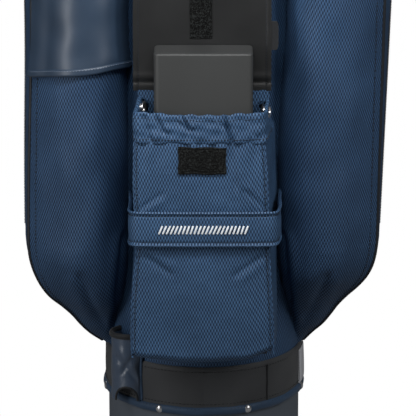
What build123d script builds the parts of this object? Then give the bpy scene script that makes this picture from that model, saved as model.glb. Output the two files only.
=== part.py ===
"""Golf bag for a trolley, standing on its own base: body, pockets, pouch, cuff, dividers and strap.

Millimetres, +Z up, front towards -Y, +X to the viewer's right. The origin is the middle of the
underside, on the floor. Compass angles are measured from the front, positive towards +X.
"""
from build123d import *
import os
from math import cos, hypot, radians, sin, sqrt

os.makedirs("parts", exist_ok=True)

# ---------------------------------------------------------------- driving dimensions
BODY_A, BODY_B = 105.0, 115.0      # half width and half depth of the body tube
BODY_WALL = 2.5
BODY_BOTTOM, BODY_TOP = 66.0, 812.0

FOOT_HEIGHT = 6.0
CUP_WALL = 4.0
CUP_ROUNDING = 8.0
RIM_LOW, RIM_HIGH = 60.0, 69.5     # the bound rim between cup and collar
RIM_OUT = 5.5                      # how far the rim stands out from the body
RIVET_COUNT = 7
RIVET_RADIUS = 4.0
COLLAR_TOP = 113.0
COLLAR_THICK = 3.0

CUFF_LOW, CUFF_FLARE, CUFF_HIGH = 790.0, 825.0, 900.0
CUFF_A, CUFF_B = 124.0, 136.0
CUFF_TOP = 881.0                   # height of the slanted top at its middle
CUFF_SLANT = 4.0                   # degrees, higher at the rear

BAR_LOW, BAR_HEIGHT, BAR_THICK = 846.0, 16.0, 7.0
SHEET_THICK = 1.5
ROW_Y = (-58.0, 0.0, 58.0)         # cross bars
OUTER_SPLIT = (-26.0, 26.0)        # splits of the front and rear rows
INNER_SPLIT = (-50.0, 0.0, 50.0)   # splits of the two middle rows
PAST_WALL = BODY_B + 15            # uprights are drawn past the wall and trimmed to it

POUCH_FRONT, POUCH_REAR = -178.0, -82.0
POUCH_LOW, POUCH_HIGH = 145.0, 405.0
HEM_LOW = 373.0
POUCH_SHEET = 2.5
POUCH_HALF_LOW, POUCH_HALF_HIGH = 74.0, 65.0   # half width of the front at floor and mouth
POUCH_REAR_LOW, POUCH_REAR_HIGH = 78.0, 76.0   # half width where the gussets meet the body
FLAP_Y = -118.3                    # mid plane of the flap and the pouch's back panel
FLAP_THICK = 2.0
FLAP_HALF = 72.0
FLAP_FOLD, LIP_FOLD, LIP_END = 469.8, 527.6, 566.0
FOLD_GAP = 1.3
STRIP_THICK = 1.5

BOX_WIDTH, BOX_DEPTH, BOX_TOP = 101.4, 48.4, 465.0
BOX_FRONT = -170.0
BOX_FLOOR_GAP = 0.5
LID_HEIGHT = 14.0

POCKET_FULL = 193.0                # half width of the bag over its side pockets
POCKET_FLARE = 0.032               # how much the right pocket widens per millimetre of height
POCKET_RIGHT_FULL = 191.5
POCKET_WALL = 3.0
POCKET_STRAIGHT = 240.0            # height where the pockets reach their full width
ZIP_LOW, ZIP_HIGH = 250.0, 705.0
ZIP_Y = -30.0
POCKET_LEVELS = ((112, 0.04), (172, 0.76), (205, 0.92), (POCKET_STRAIGHT, 1.0), (715, 1.0),
                 (745, 0.93), (765, 0.78))    # height and fullness
SLIDER_START = 680.0

SLEEVE_RADIUS, SLEEVE_WALL = 20.0, 1.6
SLEEVE_ANGLE, SLEEVE_MOUTH = -48.0, 141.0    # compass angle, and height of the mouth
PATCH_START, PATCH_END, PATCH_TOP = 73.0, 112.0, 108.0    # compass angles and top of the collar's side patch
PATCH_THICK = 2.2

STRAP_PIVOT_Y = 130.0
STRAP_LUG_Z = (330.0, 772.0)


# ---------------------------------------------------------------- shared shapes
def on_ellipse(half_x, half_y, angle):
    """Point of an ellipse at a compass angle of its parameter, from the front towards +X."""
    return (half_x * sin(radians(angle)), -half_y * cos(radians(angle)))


def wedge(start, end, reach=400.0):
    """Corners of a sector from the origin between two compass angles less than half a turn apart."""
    middle = (start + end) / 2
    return [(0, 0)] + [(reach * sin(radians(a)), -reach * cos(radians(a))) for a in (start, middle, end)]


def facing(angle, half_x, half_y, level):
    """Plane on an elliptical wall, its normal pointing outwards, at a compass angle and a height."""
    x, y = on_ellipse(half_x, half_y, angle)
    outwards = (x / half_x**2, y / half_y**2, 0)
    return Plane(origin=(x, y, level), x_dir=(-outwards[1], outwards[0], 0), z_dir=outwards)


def pocket_reach(side, level):
    """Half width of a side pocket at full fullness: the right one widens a little upwards."""
    if side < 0:
        return POCKET_FULL
    return POCKET_RIGHT_FULL + POCKET_FLARE * max(level - POCKET_STRAIGHT, 0)


def pocket_section(side, level, fullness, inset=0.0):
    """Corners of a side pocket's cross-section: a sliver on the body where fullness is 0."""
    reach = pocket_reach(side, level)
    full = [(80, -74), (92, -104), (122, -123), (155, -112), (reach - 8, -80),
            (reach, ZIP_Y), (reach - 7, 38), (150, 62), (100, 60), (70, 0)]
    flat = [(102, -28), (105, -26), (107, -20), (108, -14), (109, -6),
            (109, 2), (108, 14), (104, 34), (98, 46), (70, 0)]
    corners = [(f[0] + (q[0] - f[0]) * fullness, f[1] + (q[1] - f[1]) * fullness) for q, f in zip(full, flat)]
    middle = (sum(c[0] for c in corners) / len(corners), sum(c[1] for c in corners) / len(corners))
    inner = []
    for x, y in corners:
        away = hypot(x - middle[0], y - middle[1])
        keep = 1 - inset / away
        inner.append((side * (middle[0] + (x - middle[0]) * keep), middle[1] + (y - middle[1]) * keep))
    return inner


def band_outline(half_front, y_front, half_bend, y_bend, half_rear, y_rear):
    """Half outline of a strap that crosses the front and bends back at both sides."""
    right = [(half_front, y_front), (half_bend, y_bend), (half_rear, y_rear)]
    return [(-x, y) for x, y in reversed(right)] + right


# ---------------------------------------------------------------- base
with BuildPart() as base_cup:
    with BuildSketch(Plane.XY.offset(FOOT_HEIGHT)):
        Ellipse(BODY_A, BODY_B)
    extrude(amount=BODY_BOTTOM - FOOT_HEIGHT)
    fillet(base_cup.edges().group_by(Axis.Z)[0], radius=CUP_ROUNDING)
    with BuildSketch(Plane.XY.offset(FOOT_HEIGHT + CUP_WALL)):
        Ellipse(BODY_A - CUP_WALL, BODY_B - CUP_WALL)
    extrude(amount=BODY_BOTTOM, mode=Mode.SUBTRACT)
base_cup.part.label = "base_cup"
export_step(base_cup.part, "parts/base_cup.step")

with BuildPart() as base_feet:
    with BuildSketch():
        with GridLocations(116, 132, 2, 2):
            Circle(13)
        Circle(20)
    extrude(amount=FOOT_HEIGHT)
    chamfer(base_feet.edges().group_by(Axis.Z)[0], length=1)
base_feet.part.label = "base_feet"
export_step(base_feet.part, "parts/base_feet.step")

with BuildPart() as rim_binding:
    with BuildSketch(Plane.XY.offset(RIM_LOW)):
        Ellipse(BODY_A + RIM_OUT, BODY_B + RIM_OUT)
        Ellipse(BODY_A, BODY_B, mode=Mode.SUBTRACT)
    extrude(amount=RIM_HIGH - RIM_LOW)
    outer_face = rim_binding.faces().filter_by(GeomType.EXTRUSION).sort_by(SortBy.AREA)[-1]
    fillet(outer_face.edges().group_by(Axis.Z)[0] + outer_face.edges().group_by(Axis.Z)[-1], radius=2.5)
rim_binding.part.label = "rim_binding"
export_step(rim_binding.part, "parts/rim_binding.step")

with BuildPart() as rim_rivets:
    for turn in range(RIVET_COUNT):
        spot = 180 / RIVET_COUNT * (2 * turn + 1)
        head = facing(spot, BODY_A + RIM_OUT, BODY_B + RIM_OUT, (RIM_LOW + RIM_HIGH) / 2)
        with BuildSketch(head.offset(-RIM_OUT - CUP_WALL + 0.5)):
            Circle(1.2)
        extrude(amount=RIM_OUT + CUP_WALL)
        with BuildSketch(head.offset(-0.6)):
            Circle(RIVET_RADIUS)
        extrude(amount=2.2, taper=25)
rim_rivets.part.label = "rim_rivets"
export_step(rim_rivets.part, "parts/rim_rivets.step")

with BuildPart() as base_collar:
    with BuildSketch(Plane.XY.offset(RIM_HIGH)):
        Ellipse(BODY_A + COLLAR_THICK, BODY_B + COLLAR_THICK)
        Ellipse(BODY_A, BODY_B, mode=Mode.SUBTRACT)
    extrude(amount=COLLAR_TOP - RIM_HIGH)
    for side in (-1, 1):
        with BuildSketch(Plane.XY.offset(RIM_HIGH + 30)):
            with Locations((side * 105, 10)):
                Rectangle(30, 100)
        extrude(amount=COLLAR_TOP, mode=Mode.SUBTRACT)
base_collar.part.label = "base_collar"
export_step(base_collar.part, "parts/base_collar.step")

# ---------------------------------------------------------------- body
PANELS = {"front": (-50, 50), "right": (50, 122), "back": (122, 238), "left": (238, 310)}
for panel_name, (start, end) in PANELS.items():
    with BuildPart() as body_panel:
        with BuildSketch(Plane.XY.offset(BODY_BOTTOM)):
            Ellipse(BODY_A, BODY_B)
            Ellipse(BODY_A - BODY_WALL, BODY_B - BODY_WALL, mode=Mode.SUBTRACT)
            Polygon(*wedge(start, end), align=None, mode=Mode.INTERSECT)
        extrude(amount=BODY_TOP - BODY_BOTTOM)
    body_panel.part.label = f"body_panel_{panel_name}"
    export_step(body_panel.part, f"parts/body_panel_{panel_name}.step")

with BuildPart() as back_pad:
    with BuildSketch(Plane.XY.offset(125)):
        with Locations((0, 91)):
            RectangleRounded(100, 60, 8)
        Ellipse(BODY_A, BODY_B, mode=Mode.SUBTRACT)
    extrude(amount=CUFF_LOW - 140)
back_pad.part.label = "back_pad"
export_step(back_pad.part, "parts/back_pad.step")

ROD_RADIUS = 2.5
with BuildPart() as stay_rods:
    with BuildSketch(Plane.XY.offset(FOOT_HEIGHT + CUP_WALL)):
        inwards = CUP_WALL + ROD_RADIUS + 0.3
        with Locations(*[on_ellipse(BODY_A - inwards, BODY_B - inwards, a) for a in (62, 118, 242, 298)]):
            Circle(ROD_RADIUS)
    extrude(amount=BODY_TOP - FOOT_HEIGHT - CUP_WALL)
stay_rods.part.label = "stay_rods"
export_step(stay_rods.part, "parts/stay_rods.step")

# ---------------------------------------------------------------- cuff and dividers
with BuildPart() as top_cuff:
    for level, half_x, half_y in ((CUFF_LOW, BODY_A + 4, BODY_B + 4), (CUFF_FLARE, CUFF_A, CUFF_B),
                                  (CUFF_HIGH, CUFF_A, CUFF_B)):
        with BuildSketch(Plane.XY.offset(level)):
            Ellipse(half_x, half_y)
    loft(ruled=True)
    with BuildSketch(Plane.XY.offset(CUFF_LOW)):
        Ellipse(BODY_A, BODY_B)
    extrude(amount=CUFF_HIGH - CUFF_LOW, mode=Mode.SUBTRACT)
    for level, grow in ((BAR_LOW + BAR_HEIGHT, 0.0), (CUFF_HIGH, 16.0)):
        with BuildSketch(Plane.XY.offset(level)):
            Ellipse(BODY_A + grow, BODY_B + grow)
    loft(ruled=True, mode=Mode.SUBTRACT)
    slant = Plane(origin=(0, 0, CUFF_TOP), z_dir=(0, -sin(radians(CUFF_SLANT)), cos(radians(CUFF_SLANT))))
    split(bisect_by=slant, keep=Keep.BOTTOM)
    fillet(top_cuff.edges().filter_by(lambda e: abs(slant.to_local_coords(e.center()).Z) < 0.5), radius=3)
top_cuff.part.label = "top_cuff"
export_step(top_cuff.part, "parts/top_cuff.step")


def divider_rows(thick, gap):
    """Centre and size of each upright of the well grid: the cross rows, then the splits between them."""
    rows = [((0, y), (2 * BODY_A, thick)) for y in ROW_Y]
    for low, high, splits in ((-PAST_WALL, ROW_Y[0], OUTER_SPLIT), (ROW_Y[0], ROW_Y[1], INNER_SPLIT),
                              (ROW_Y[1], ROW_Y[2], INNER_SPLIT), (ROW_Y[2], PAST_WALL, OUTER_SPLIT)):
        length = high - low - thick - 2 * gap
        rows += [((x, (low + high) / 2), (thick, length)) for x in splits]
    return rows


with BuildPart() as divider_bars:
    with BuildSketch(Plane.XY.offset(BAR_LOW)):
        for place, (wide, deep) in divider_rows(BAR_THICK, 0.3):
            with Locations(place):
                Rectangle(wide, deep)
        Ellipse(BODY_A, BODY_B, mode=Mode.INTERSECT)
    extrude(amount=BAR_HEIGHT)
divider_bars.part.label = "divider_bars"
export_step(divider_bars.part, "parts/divider_bars.step")

with BuildPart() as well_dividers:
    with BuildSketch(Plane.XY.offset(FOOT_HEIGHT + CUP_WALL)):
        for place, (wide, deep) in divider_rows(SHEET_THICK, 0.3):
            with Locations(place):
                Rectangle(wide, deep)
        Ellipse(BODY_A - 12, BODY_B - 12, mode=Mode.INTERSECT)
    extrude(amount=BAR_LOW - FOOT_HEIGHT - CUP_WALL)
well_dividers.part.label = "well_dividers"
export_step(well_dividers.part, "parts/well_dividers.step")

HANDLE_LOW, HANDLE_HEIGHT = 836.0, 22.0
HANDLES = {"front": -1, "rear": 1}
for end_name, end in HANDLES.items():
    with BuildPart() as handle:
        with BuildSketch(Plane.XY.offset(HANDLE_LOW)):
            with Locations((0, end * 140)):
                RectangleRounded(118, 52, 16)
            with Locations((0, end * 132)):
                RectangleRounded(90, 44, 10, mode=Mode.SUBTRACT)
            Ellipse(CUFF_A, CUFF_B, mode=Mode.SUBTRACT)
        extrude(amount=HANDLE_HEIGHT)
        fillet(handle.edges().filter_by(GeomType.LINE).filter_by(Axis.X), radius=4)
    handle.part.label = f"{end_name}_handle"
    export_step(handle.part, f"parts/{end_name}_handle.step")

with BuildPart() as hood_studs:
    for spot in (-125, -55, 55, 125, -38, 38):
        with BuildSketch(facing(spot, CUFF_A, CUFF_B, 833)):
            Circle(5)
        extrude(amount=2.5, taper=20)
hood_studs.part.label = "hood_studs"
export_step(hood_studs.part, "parts/hood_studs.step")

# ---------------------------------------------------------------- towel ring on the cuff
RING_X, RING_Z, RING_WIRE = -(CUFF_A + 4.5), 842.0, 1.8
with BuildPart() as towel_tab:
    with BuildSketch(Plane.XZ.offset(-7)):
        with Locations((RING_X, RING_Z)):
            Rectangle(8.4, 12)
            Circle(RING_WIRE + 0.5, mode=Mode.SUBTRACT)
    extrude(amount=14)
    with BuildSketch(Plane.XY.offset(RING_Z - 10)):
        Ellipse(CUFF_A, CUFF_B)
    extrude(amount=20, mode=Mode.SUBTRACT)
towel_tab.part.label = "towel_tab"
export_step(towel_tab.part, "parts/towel_tab.step")

with BuildPart() as towel_ring:
    with BuildLine(Plane.YZ.offset(RING_X)) as ring_route:
        FilletPolyline((20, RING_Z), (16, RING_Z - 34), (-16, RING_Z - 34), (-20, RING_Z), radius=6, close=True)
    with BuildSketch(Plane(origin=ring_route.line @ 0, z_dir=ring_route.line % 0)):
        Circle(RING_WIRE)
    sweep()
towel_ring.part.label = "towel_ring"
export_step(towel_ring.part, "parts/towel_ring.step")

# ---------------------------------------------------------------- side pockets
for side_name, side in (("left", -1), ("right", 1)):
    with BuildPart() as pocket:
        for level, fullness in POCKET_LEVELS:
            with BuildSketch(Plane.XY.offset(level)):
                Polygon(*pocket_section(side, level, fullness), align=None)
        loft(ruled=True)
        with BuildSketch(Plane.XY.offset(POCKET_LEVELS[0][0])):
            Ellipse(BODY_A, BODY_B)
        extrude(amount=BODY_TOP - POCKET_LEVELS[0][0], mode=Mode.SUBTRACT)
    with BuildPart() as hollow:
        for level, fullness in POCKET_LEVELS:
            toward_middle = POCKET_WALL if level < 400 else -POCKET_WALL
            with BuildSketch(Plane.XY.offset(level + toward_middle)):
                Polygon(*pocket_section(side, level, fullness, POCKET_WALL), align=None)
        loft(ruled=True)
        with BuildSketch(Plane.XY.offset(POCKET_LEVELS[0][0])):
            Ellipse(BODY_A + POCKET_WALL, BODY_B + POCKET_WALL)
        extrude(amount=BODY_TOP, mode=Mode.SUBTRACT)
    with BuildPart() as pocket_shell:
        add(pocket.part)
        add(hollow.part, mode=Mode.SUBTRACT)
    pocket_shell.part.label = f"{side_name}_pocket"
    export_step(pocket_shell.part, f"parts/{side_name}_pocket.step")

    with BuildPart() as piping:
        for corner in (4, 6):
            stations = [pocket_section(side, level, fullness)[corner] + (level,)
                        for level, fullness in POCKET_LEVELS]
            with BuildLine() as seam:
                FilletPolyline(*stations, radius=15)
            with BuildSketch(Plane(origin=seam.line @ 0, z_dir=seam.line % 0)):
                Circle(2)
            sweep()
    piping.part.label = f"{side_name}_pocket_piping"
    export_step(piping.part, f"parts/{side_name}_pocket_piping.step")

    # the zip runs up the middle of the gusset, and its slider and pull sit near its top
    low = Vector(side * pocket_reach(side, ZIP_LOW), ZIP_Y, ZIP_LOW)
    high = Vector(side * pocket_reach(side, ZIP_HIGH), ZIP_Y, ZIP_HIGH)
    upwards = (high - low).normalized()
    out = Vector(side, 0, 0)
    zip_plane = Plane(origin=low, x_dir=out, z_dir=upwards)
    with BuildPart() as pocket_zip:
        with BuildSketch(zip_plane):
            with Locations((0.9, 0)):
                Rectangle(1.8, 9)
        extrude(amount=(high - low).length)
    pocket_zip.part.label = f"{side_name}_pocket_zip"
    export_step(pocket_zip.part, f"parts/{side_name}_pocket_zip.step")

    travel = SLIDER_START - ZIP_LOW
    with BuildPart() as slider:
        with BuildSketch(zip_plane.offset(travel)):
            with Locations((4.4, 0)):
                RectangleRounded(4.4, 9, 1.2)
        extrude(amount=13)
    slider.part.label = f"{side_name}_zip_slider"
    export_step(slider.part, f"parts/{side_name}_zip_slider.step")

    with BuildPart() as pull:
        with BuildSketch(zip_plane.offset(travel - 1.2)):
            with Locations((4.4, 0)):
                RectangleRounded(1.8, 8, 0.6)
        extrude(amount=-27)
    pull.part.label = f"{side_name}_zip_pull"
    export_step(pull.part, f"parts/{side_name}_zip_pull.step")

# coated panel laid over the upper front of the left pocket
COVER_LOW, COVER_HIGH = 425.0, 714.0
with BuildPart() as cover_panel:
    with BuildSketch(Plane.XY.offset(COVER_LOW)):
        Polygon(*pocket_section(-1, COVER_LOW, 1.0), align=None)
        offset(amount=3.0, kind=Kind.INTERSECTION)
        with BuildSketch(mode=Mode.PRIVATE) as pocket_front:
            Polygon(*pocket_section(-1, COVER_LOW, 1.0), align=None)
            offset(amount=0.4, kind=Kind.INTERSECTION)
        add(pocket_front.sketch, mode=Mode.SUBTRACT)
        Polygon((-86, -60), (-86, -160), (-183, -160), (-183, -60), align=None, mode=Mode.INTERSECT)
        Polygon((-86, -60), (-86, -160), (-220, -160), (-220, -83), (-150, -83), (-110, -60), align=None,
                mode=Mode.INTERSECT)
    extrude(amount=COVER_HIGH - COVER_LOW)
cover_panel.part.label = "left_cover_panel"
export_step(cover_panel.part, "parts/left_cover_panel.step")

# ---------------------------------------------------------------- valuables pocket, top centre
VALUABLES_FRONT = -119.0
VALUABLES_LOW, VALUABLES_HIGH = 600.0, 765.0
VALUABLES_ZIP_Z = 742.0
with BuildPart() as valuables_pocket:
    with BuildSketch(Plane.XY.offset(VALUABLES_LOW)):
        with Locations((0, VALUABLES_FRONT / 2)):
            Rectangle(124, -VALUABLES_FRONT)
        Ellipse(BODY_A, BODY_B, mode=Mode.SUBTRACT)
    extrude(amount=VALUABLES_HIGH - VALUABLES_LOW)
valuables_pocket.part.label = "valuables_pocket"
export_step(valuables_pocket.part, "parts/valuables_pocket.step")

zip_face = Plane(origin=(0, VALUABLES_FRONT, VALUABLES_ZIP_Z), x_dir=(1, 0, 0), z_dir=(0, -1, 0))
with BuildPart() as valuables_zip:
    with BuildSketch(zip_face):
        Rectangle(112, 9)
    extrude(amount=1.4)
valuables_zip.part.label = "valuables_zip"
export_step(valuables_zip.part, "parts/valuables_zip.step")

with BuildPart() as valuables_slider:
    with BuildSketch(zip_face.offset(1.8)):
        with Locations((-46, 0)):
            RectangleRounded(12, 9, 1.5)
    extrude(amount=4)
valuables_slider.part.label = "valuables_zip_slider"
export_step(valuables_slider.part, "parts/valuables_zip_slider.step")

with BuildPart() as valuables_pull:
    with BuildSketch(zip_face.offset(2.9)):
        with Locations((-46, -4.5 - 1.2 - 11)):
            RectangleRounded(8, 22, 2)
    extrude(amount=1.8)
valuables_pull.part.label = "valuables_zip_pull"
export_step(valuables_pull.part, "parts/valuables_zip_pull.step")


# ---------------------------------------------------------------- centre pouch
def pouch_half(level, y):
    """Half width of the pouch's outside at a height and a depth: wider low down and at the rear."""
    up = (level - POUCH_LOW) / (POUCH_HIGH - POUCH_LOW)
    back = (y - POUCH_FRONT) / (POUCH_REAR - POUCH_FRONT)
    front_half = POUCH_HALF_LOW + (POUCH_HALF_HIGH - POUCH_HALF_LOW) * up
    rear_half = POUCH_REAR_LOW + (POUCH_REAR_HIGH - POUCH_REAR_LOW) * up
    return front_half + (rear_half - front_half) * back


front_inner = POUCH_FRONT + POUCH_SHEET
with BuildPart() as pouch_front:
    for level in (POUCH_LOW, HEM_LOW):
        half = pouch_half(level, POUCH_FRONT)
        with BuildSketch(Plane.XY.offset(level)):
            Polygon((-half, POUCH_FRONT), (half, POUCH_FRONT), (half, front_inner), (-half, front_inner), align=None)
    loft(ruled=True)
pouch_front.part.label = "pouch_front"
export_step(pouch_front.part, "parts/pouch_front.step")

for side_name, side in (("left", -1), ("right", 1)):
    with BuildPart() as gusset:
        for level in (POUCH_LOW, HEM_LOW):
            near, far = pouch_half(level, front_inner), pouch_half(level, POUCH_REAR)
            with BuildSketch(Plane.XY.offset(level)):
                Polygon((side * near, front_inner), (side * far, POUCH_REAR),
                        (side * (far - POUCH_SHEET), POUCH_REAR), (side * (near - POUCH_SHEET), front_inner),
                        align=None)
        loft(ruled=True)
    gusset.part.label = f"pouch_{side_name}_gusset"
    export_step(gusset.part, f"parts/pouch_{side_name}_gusset.step")

back_front = FLAP_Y - FLAP_THICK / 2
with BuildPart() as pouch_floor:
    near = pouch_half(POUCH_LOW, front_inner) - POUCH_SHEET - 0.5
    far = pouch_half(POUCH_LOW, back_front) - POUCH_SHEET - 0.5
    with BuildSketch(Plane.XY.offset(POUCH_LOW)):
        Polygon((-near, front_inner), (near, front_inner), (far, back_front), (-far, back_front), align=None)
    extrude(amount=POUCH_SHEET)
pouch_floor.part.label = "pouch_floor"
export_step(pouch_floor.part, "parts/pouch_floor.step")

HINGE_SEAM = 416.0
POUCH_BACK_HALF = 68.5
with BuildPart() as pouch_back:
    with BuildSketch(Plane.XY.offset(POUCH_LOW)):
        with Locations((0, FLAP_Y)):
            Rectangle(2 * POUCH_BACK_HALF, FLAP_THICK)
    extrude(amount=HINGE_SEAM - POUCH_LOW)
pouch_back.part.label = "pouch_back"
export_step(pouch_back.part, "parts/pouch_back.step")

HEM_THICK = 3.5
with BuildPart() as pouch_hem:
    near, far = pouch_half(POUCH_HIGH, POUCH_FRONT), pouch_half(POUCH_HIGH, -118)
    with BuildSketch(Plane.XY.offset(HEM_LOW)):
        Polygon((-near - 1, POUCH_FRONT - 1), (near + 1, POUCH_FRONT - 1), (far + 1, -118), (-far - 1, -118), align=None)
        Polygon((-near - 1 + HEM_THICK, POUCH_FRONT - 1 + HEM_THICK), (near + 1 - HEM_THICK, POUCH_FRONT - 1 + HEM_THICK),
                (far + 1 - HEM_THICK, -117), (-far - 1 + HEM_THICK, -117), align=None, mode=Mode.SUBTRACT)
    extrude(amount=POUCH_HIGH - HEM_LOW)
pouch_hem.part.label = "pouch_hem"
export_step(pouch_hem.part, "parts/pouch_hem.step")

EYELET_Y, EYELET_Z = -150.0, 394.0
with BuildPart() as pouch_eyelets:
    for side in (-1, 1):
        x = side * (pouch_half(POUCH_HIGH, EYELET_Y) + 1)
        eyelet_face = Plane(origin=(x, EYELET_Y, EYELET_Z), x_dir=(0, 1, 0), z_dir=(side, 0, 0))
        with BuildSketch(eyelet_face.offset(-HEM_THICK - 1.2)):
            Circle(6)
            Circle(3.2, mode=Mode.SUBTRACT)
        extrude(amount=HEM_THICK + 2.4)
pouch_eyelets.part.label = "pouch_eyelets"
export_step(pouch_eyelets.part, "parts/pouch_eyelets.step")

with BuildPart() as hook_patch:
    with BuildSketch(Plane.XZ.offset(-POUCH_FRONT)):
        with Locations((-1.3, 356)):
            RectangleRounded(49, 28, 1)
    extrude(amount=2)
hook_patch.part.label = "hook_patch"
export_step(hook_patch.part, "parts/hook_patch.step")

BAND_LOW, BAND_HIGH = 262.0, 299.5
with BuildPart() as strap_band:
    with BuildSketch(Plane.XY.offset(BAND_LOW)):
        outer = band_outline(74.5, -186, 82, -140, 83, -82)
        inner = band_outline(73, -184, 80, -140, 81, -82)
        Polygon(*outer, *reversed(inner), align=None)
    extrude(amount=BAND_HIGH - BAND_LOW)
strap_band.part.label = "strap_band"
export_step(strap_band.part, "parts/strap_band.step")

# ---------------------------------------------------------------- pouch flap: fixed foot, panel and lip
FLAP_SPANS = {
    "flap_foot": (HINGE_SEAM, FLAP_FOLD - FOLD_GAP),
    "flap_panel": (FLAP_FOLD + FOLD_GAP, LIP_FOLD - FOLD_GAP),
    "flap_lip": (LIP_FOLD + FOLD_GAP, LIP_END),
}
for flap_name, (low_edge, high_edge) in FLAP_SPANS.items():
    with BuildPart() as flap_piece:
        with BuildSketch(Plane.XY.offset(low_edge)):
            with Locations((0, FLAP_Y)):
                Rectangle(2 * FLAP_HALF, FLAP_THICK)
        extrude(amount=high_edge - low_edge)
        if flap_name == "flap_lip":
            fillet(flap_piece.edges().filter_by(Axis.Y).group_by(Axis.Z)[-1], radius=12)
    flap_piece.part.label = flap_name
    export_step(flap_piece.part, f"parts/{flap_name}.step")

strip_face = Plane(origin=(0, FLAP_Y - FLAP_THICK / 2, 0), x_dir=(1, 0, 0), z_dir=(0, -1, 0))
for strip_name, (low_edge, high_edge) in (("panel_loop_strip", (FLAP_FOLD + 1.5, LIP_FOLD - 2.5)),
                                          ("lip_loop_strip", (LIP_FOLD + 2.5, LIP_END - 6))):
    with BuildPart() as loop_strip:
        with BuildSketch(strip_face):
            with Locations((-2.5, (low_edge + high_edge) / 2)):
                Rectangle(23, high_edge - low_edge)
        extrude(amount=STRIP_THICK)
    loop_strip.part.label = strip_name
    export_step(loop_strip.part, f"parts/{strip_name}.step")

with BuildPart() as flap_tab:
    with BuildSketch(strip_face.offset(-FLAP_THICK)):
        with Locations((FLAP_HALF + 2.5, 474)):
            RectangleRounded(5, 30, 2.2)
    extrude(amount=3)
flap_tab.part.label = "flap_side_tab"
export_step(flap_tab.part, "parts/flap_side_tab.step")

# ---------------------------------------------------------------- storage box
box_low = POUCH_LOW + POUCH_SHEET + BOX_FLOOR_GAP
box_middle = BOX_FRONT + BOX_DEPTH / 2
with BuildPart() as storage_box:
    with BuildSketch(Plane.XY.offset(box_low)):
        with Locations((0, box_middle)):
            RectangleRounded(BOX_WIDTH, BOX_DEPTH, 6)
    extrude(amount=BOX_TOP - LID_HEIGHT - box_low)
    offset(amount=-2, openings=storage_box.faces().sort_by(Axis.Z)[-1])
storage_box.part.label = "storage_box"
export_step(storage_box.part, "parts/storage_box.step")

with BuildPart() as storage_box_lid:
    with BuildSketch(Plane.XY.offset(BOX_TOP - LID_HEIGHT)):
        with Locations((0, box_middle)):
            RectangleRounded(BOX_WIDTH, BOX_DEPTH, 6)
    extrude(amount=LID_HEIGHT)
    fillet(storage_box_lid.edges().group_by(Axis.Z)[-1], radius=2.5)
    with BuildSketch(Plane.XY.offset(BOX_TOP - LID_HEIGHT)):
        with Locations((0, box_middle)):
            RectangleRounded(BOX_WIDTH - 5, BOX_DEPTH - 5, 4)
    extrude(amount=LID_HEIGHT - 3, mode=Mode.SUBTRACT)
storage_box_lid.part.label = "storage_box_lid"
export_step(storage_box_lid.part, "parts/storage_box_lid.step")

# ---------------------------------------------------------------- umbrella sleeve, and a patch on the collar
sleeve_centre = on_ellipse(BODY_A + COLLAR_THICK, BODY_B + COLLAR_THICK, SLEEVE_ANGLE)
with BuildPart() as sleeve:
    with BuildSketch(Plane.XY.offset(RIM_HIGH)):
        with Locations(sleeve_centre):
            Circle(SLEEVE_RADIUS)
            Circle(SLEEVE_RADIUS - SLEEVE_WALL, mode=Mode.SUBTRACT)
        Ellipse(BODY_A + COLLAR_THICK, BODY_B + COLLAR_THICK, mode=Mode.SUBTRACT)
    extrude(amount=SLEEVE_MOUTH - RIM_HIGH)
    with BuildSketch(facing(SLEEVE_ANGLE, BODY_A, BODY_B, RIM_HIGH)):
        Circle(11)
    extrude(amount=40, mode=Mode.SUBTRACT)
sleeve.part.label = "left_umbrella_sleeve"
export_step(sleeve.part, "parts/left_umbrella_sleeve.step")

with BuildPart() as sleeve_binding:
    with BuildSketch(Plane.XY.offset(SLEEVE_MOUTH)):
        with Locations(sleeve_centre):
            Circle(SLEEVE_RADIUS + 0.8)
            Circle(SLEEVE_RADIUS - SLEEVE_WALL - 0.4, mode=Mode.SUBTRACT)
        Ellipse(BODY_A + COLLAR_THICK, BODY_B + COLLAR_THICK, mode=Mode.SUBTRACT)
    extrude(amount=3)
sleeve_binding.part.label = "left_sleeve_binding"
export_step(sleeve_binding.part, "parts/left_sleeve_binding.step")

with BuildPart() as collar_patch:
    with BuildSketch(Plane.XY.offset(RIM_HIGH)):
        Ellipse(BODY_A + COLLAR_THICK + PATCH_THICK, BODY_B + COLLAR_THICK + PATCH_THICK)
        Ellipse(BODY_A + COLLAR_THICK, BODY_B + COLLAR_THICK, mode=Mode.SUBTRACT)
        Polygon(*wedge(PATCH_START, PATCH_END), align=None, mode=Mode.INTERSECT)
    extrude(amount=PATCH_TOP - RIM_HIGH)
collar_patch.part.label = "right_collar_patch"
export_step(collar_patch.part, "parts/right_collar_patch.step")

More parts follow.
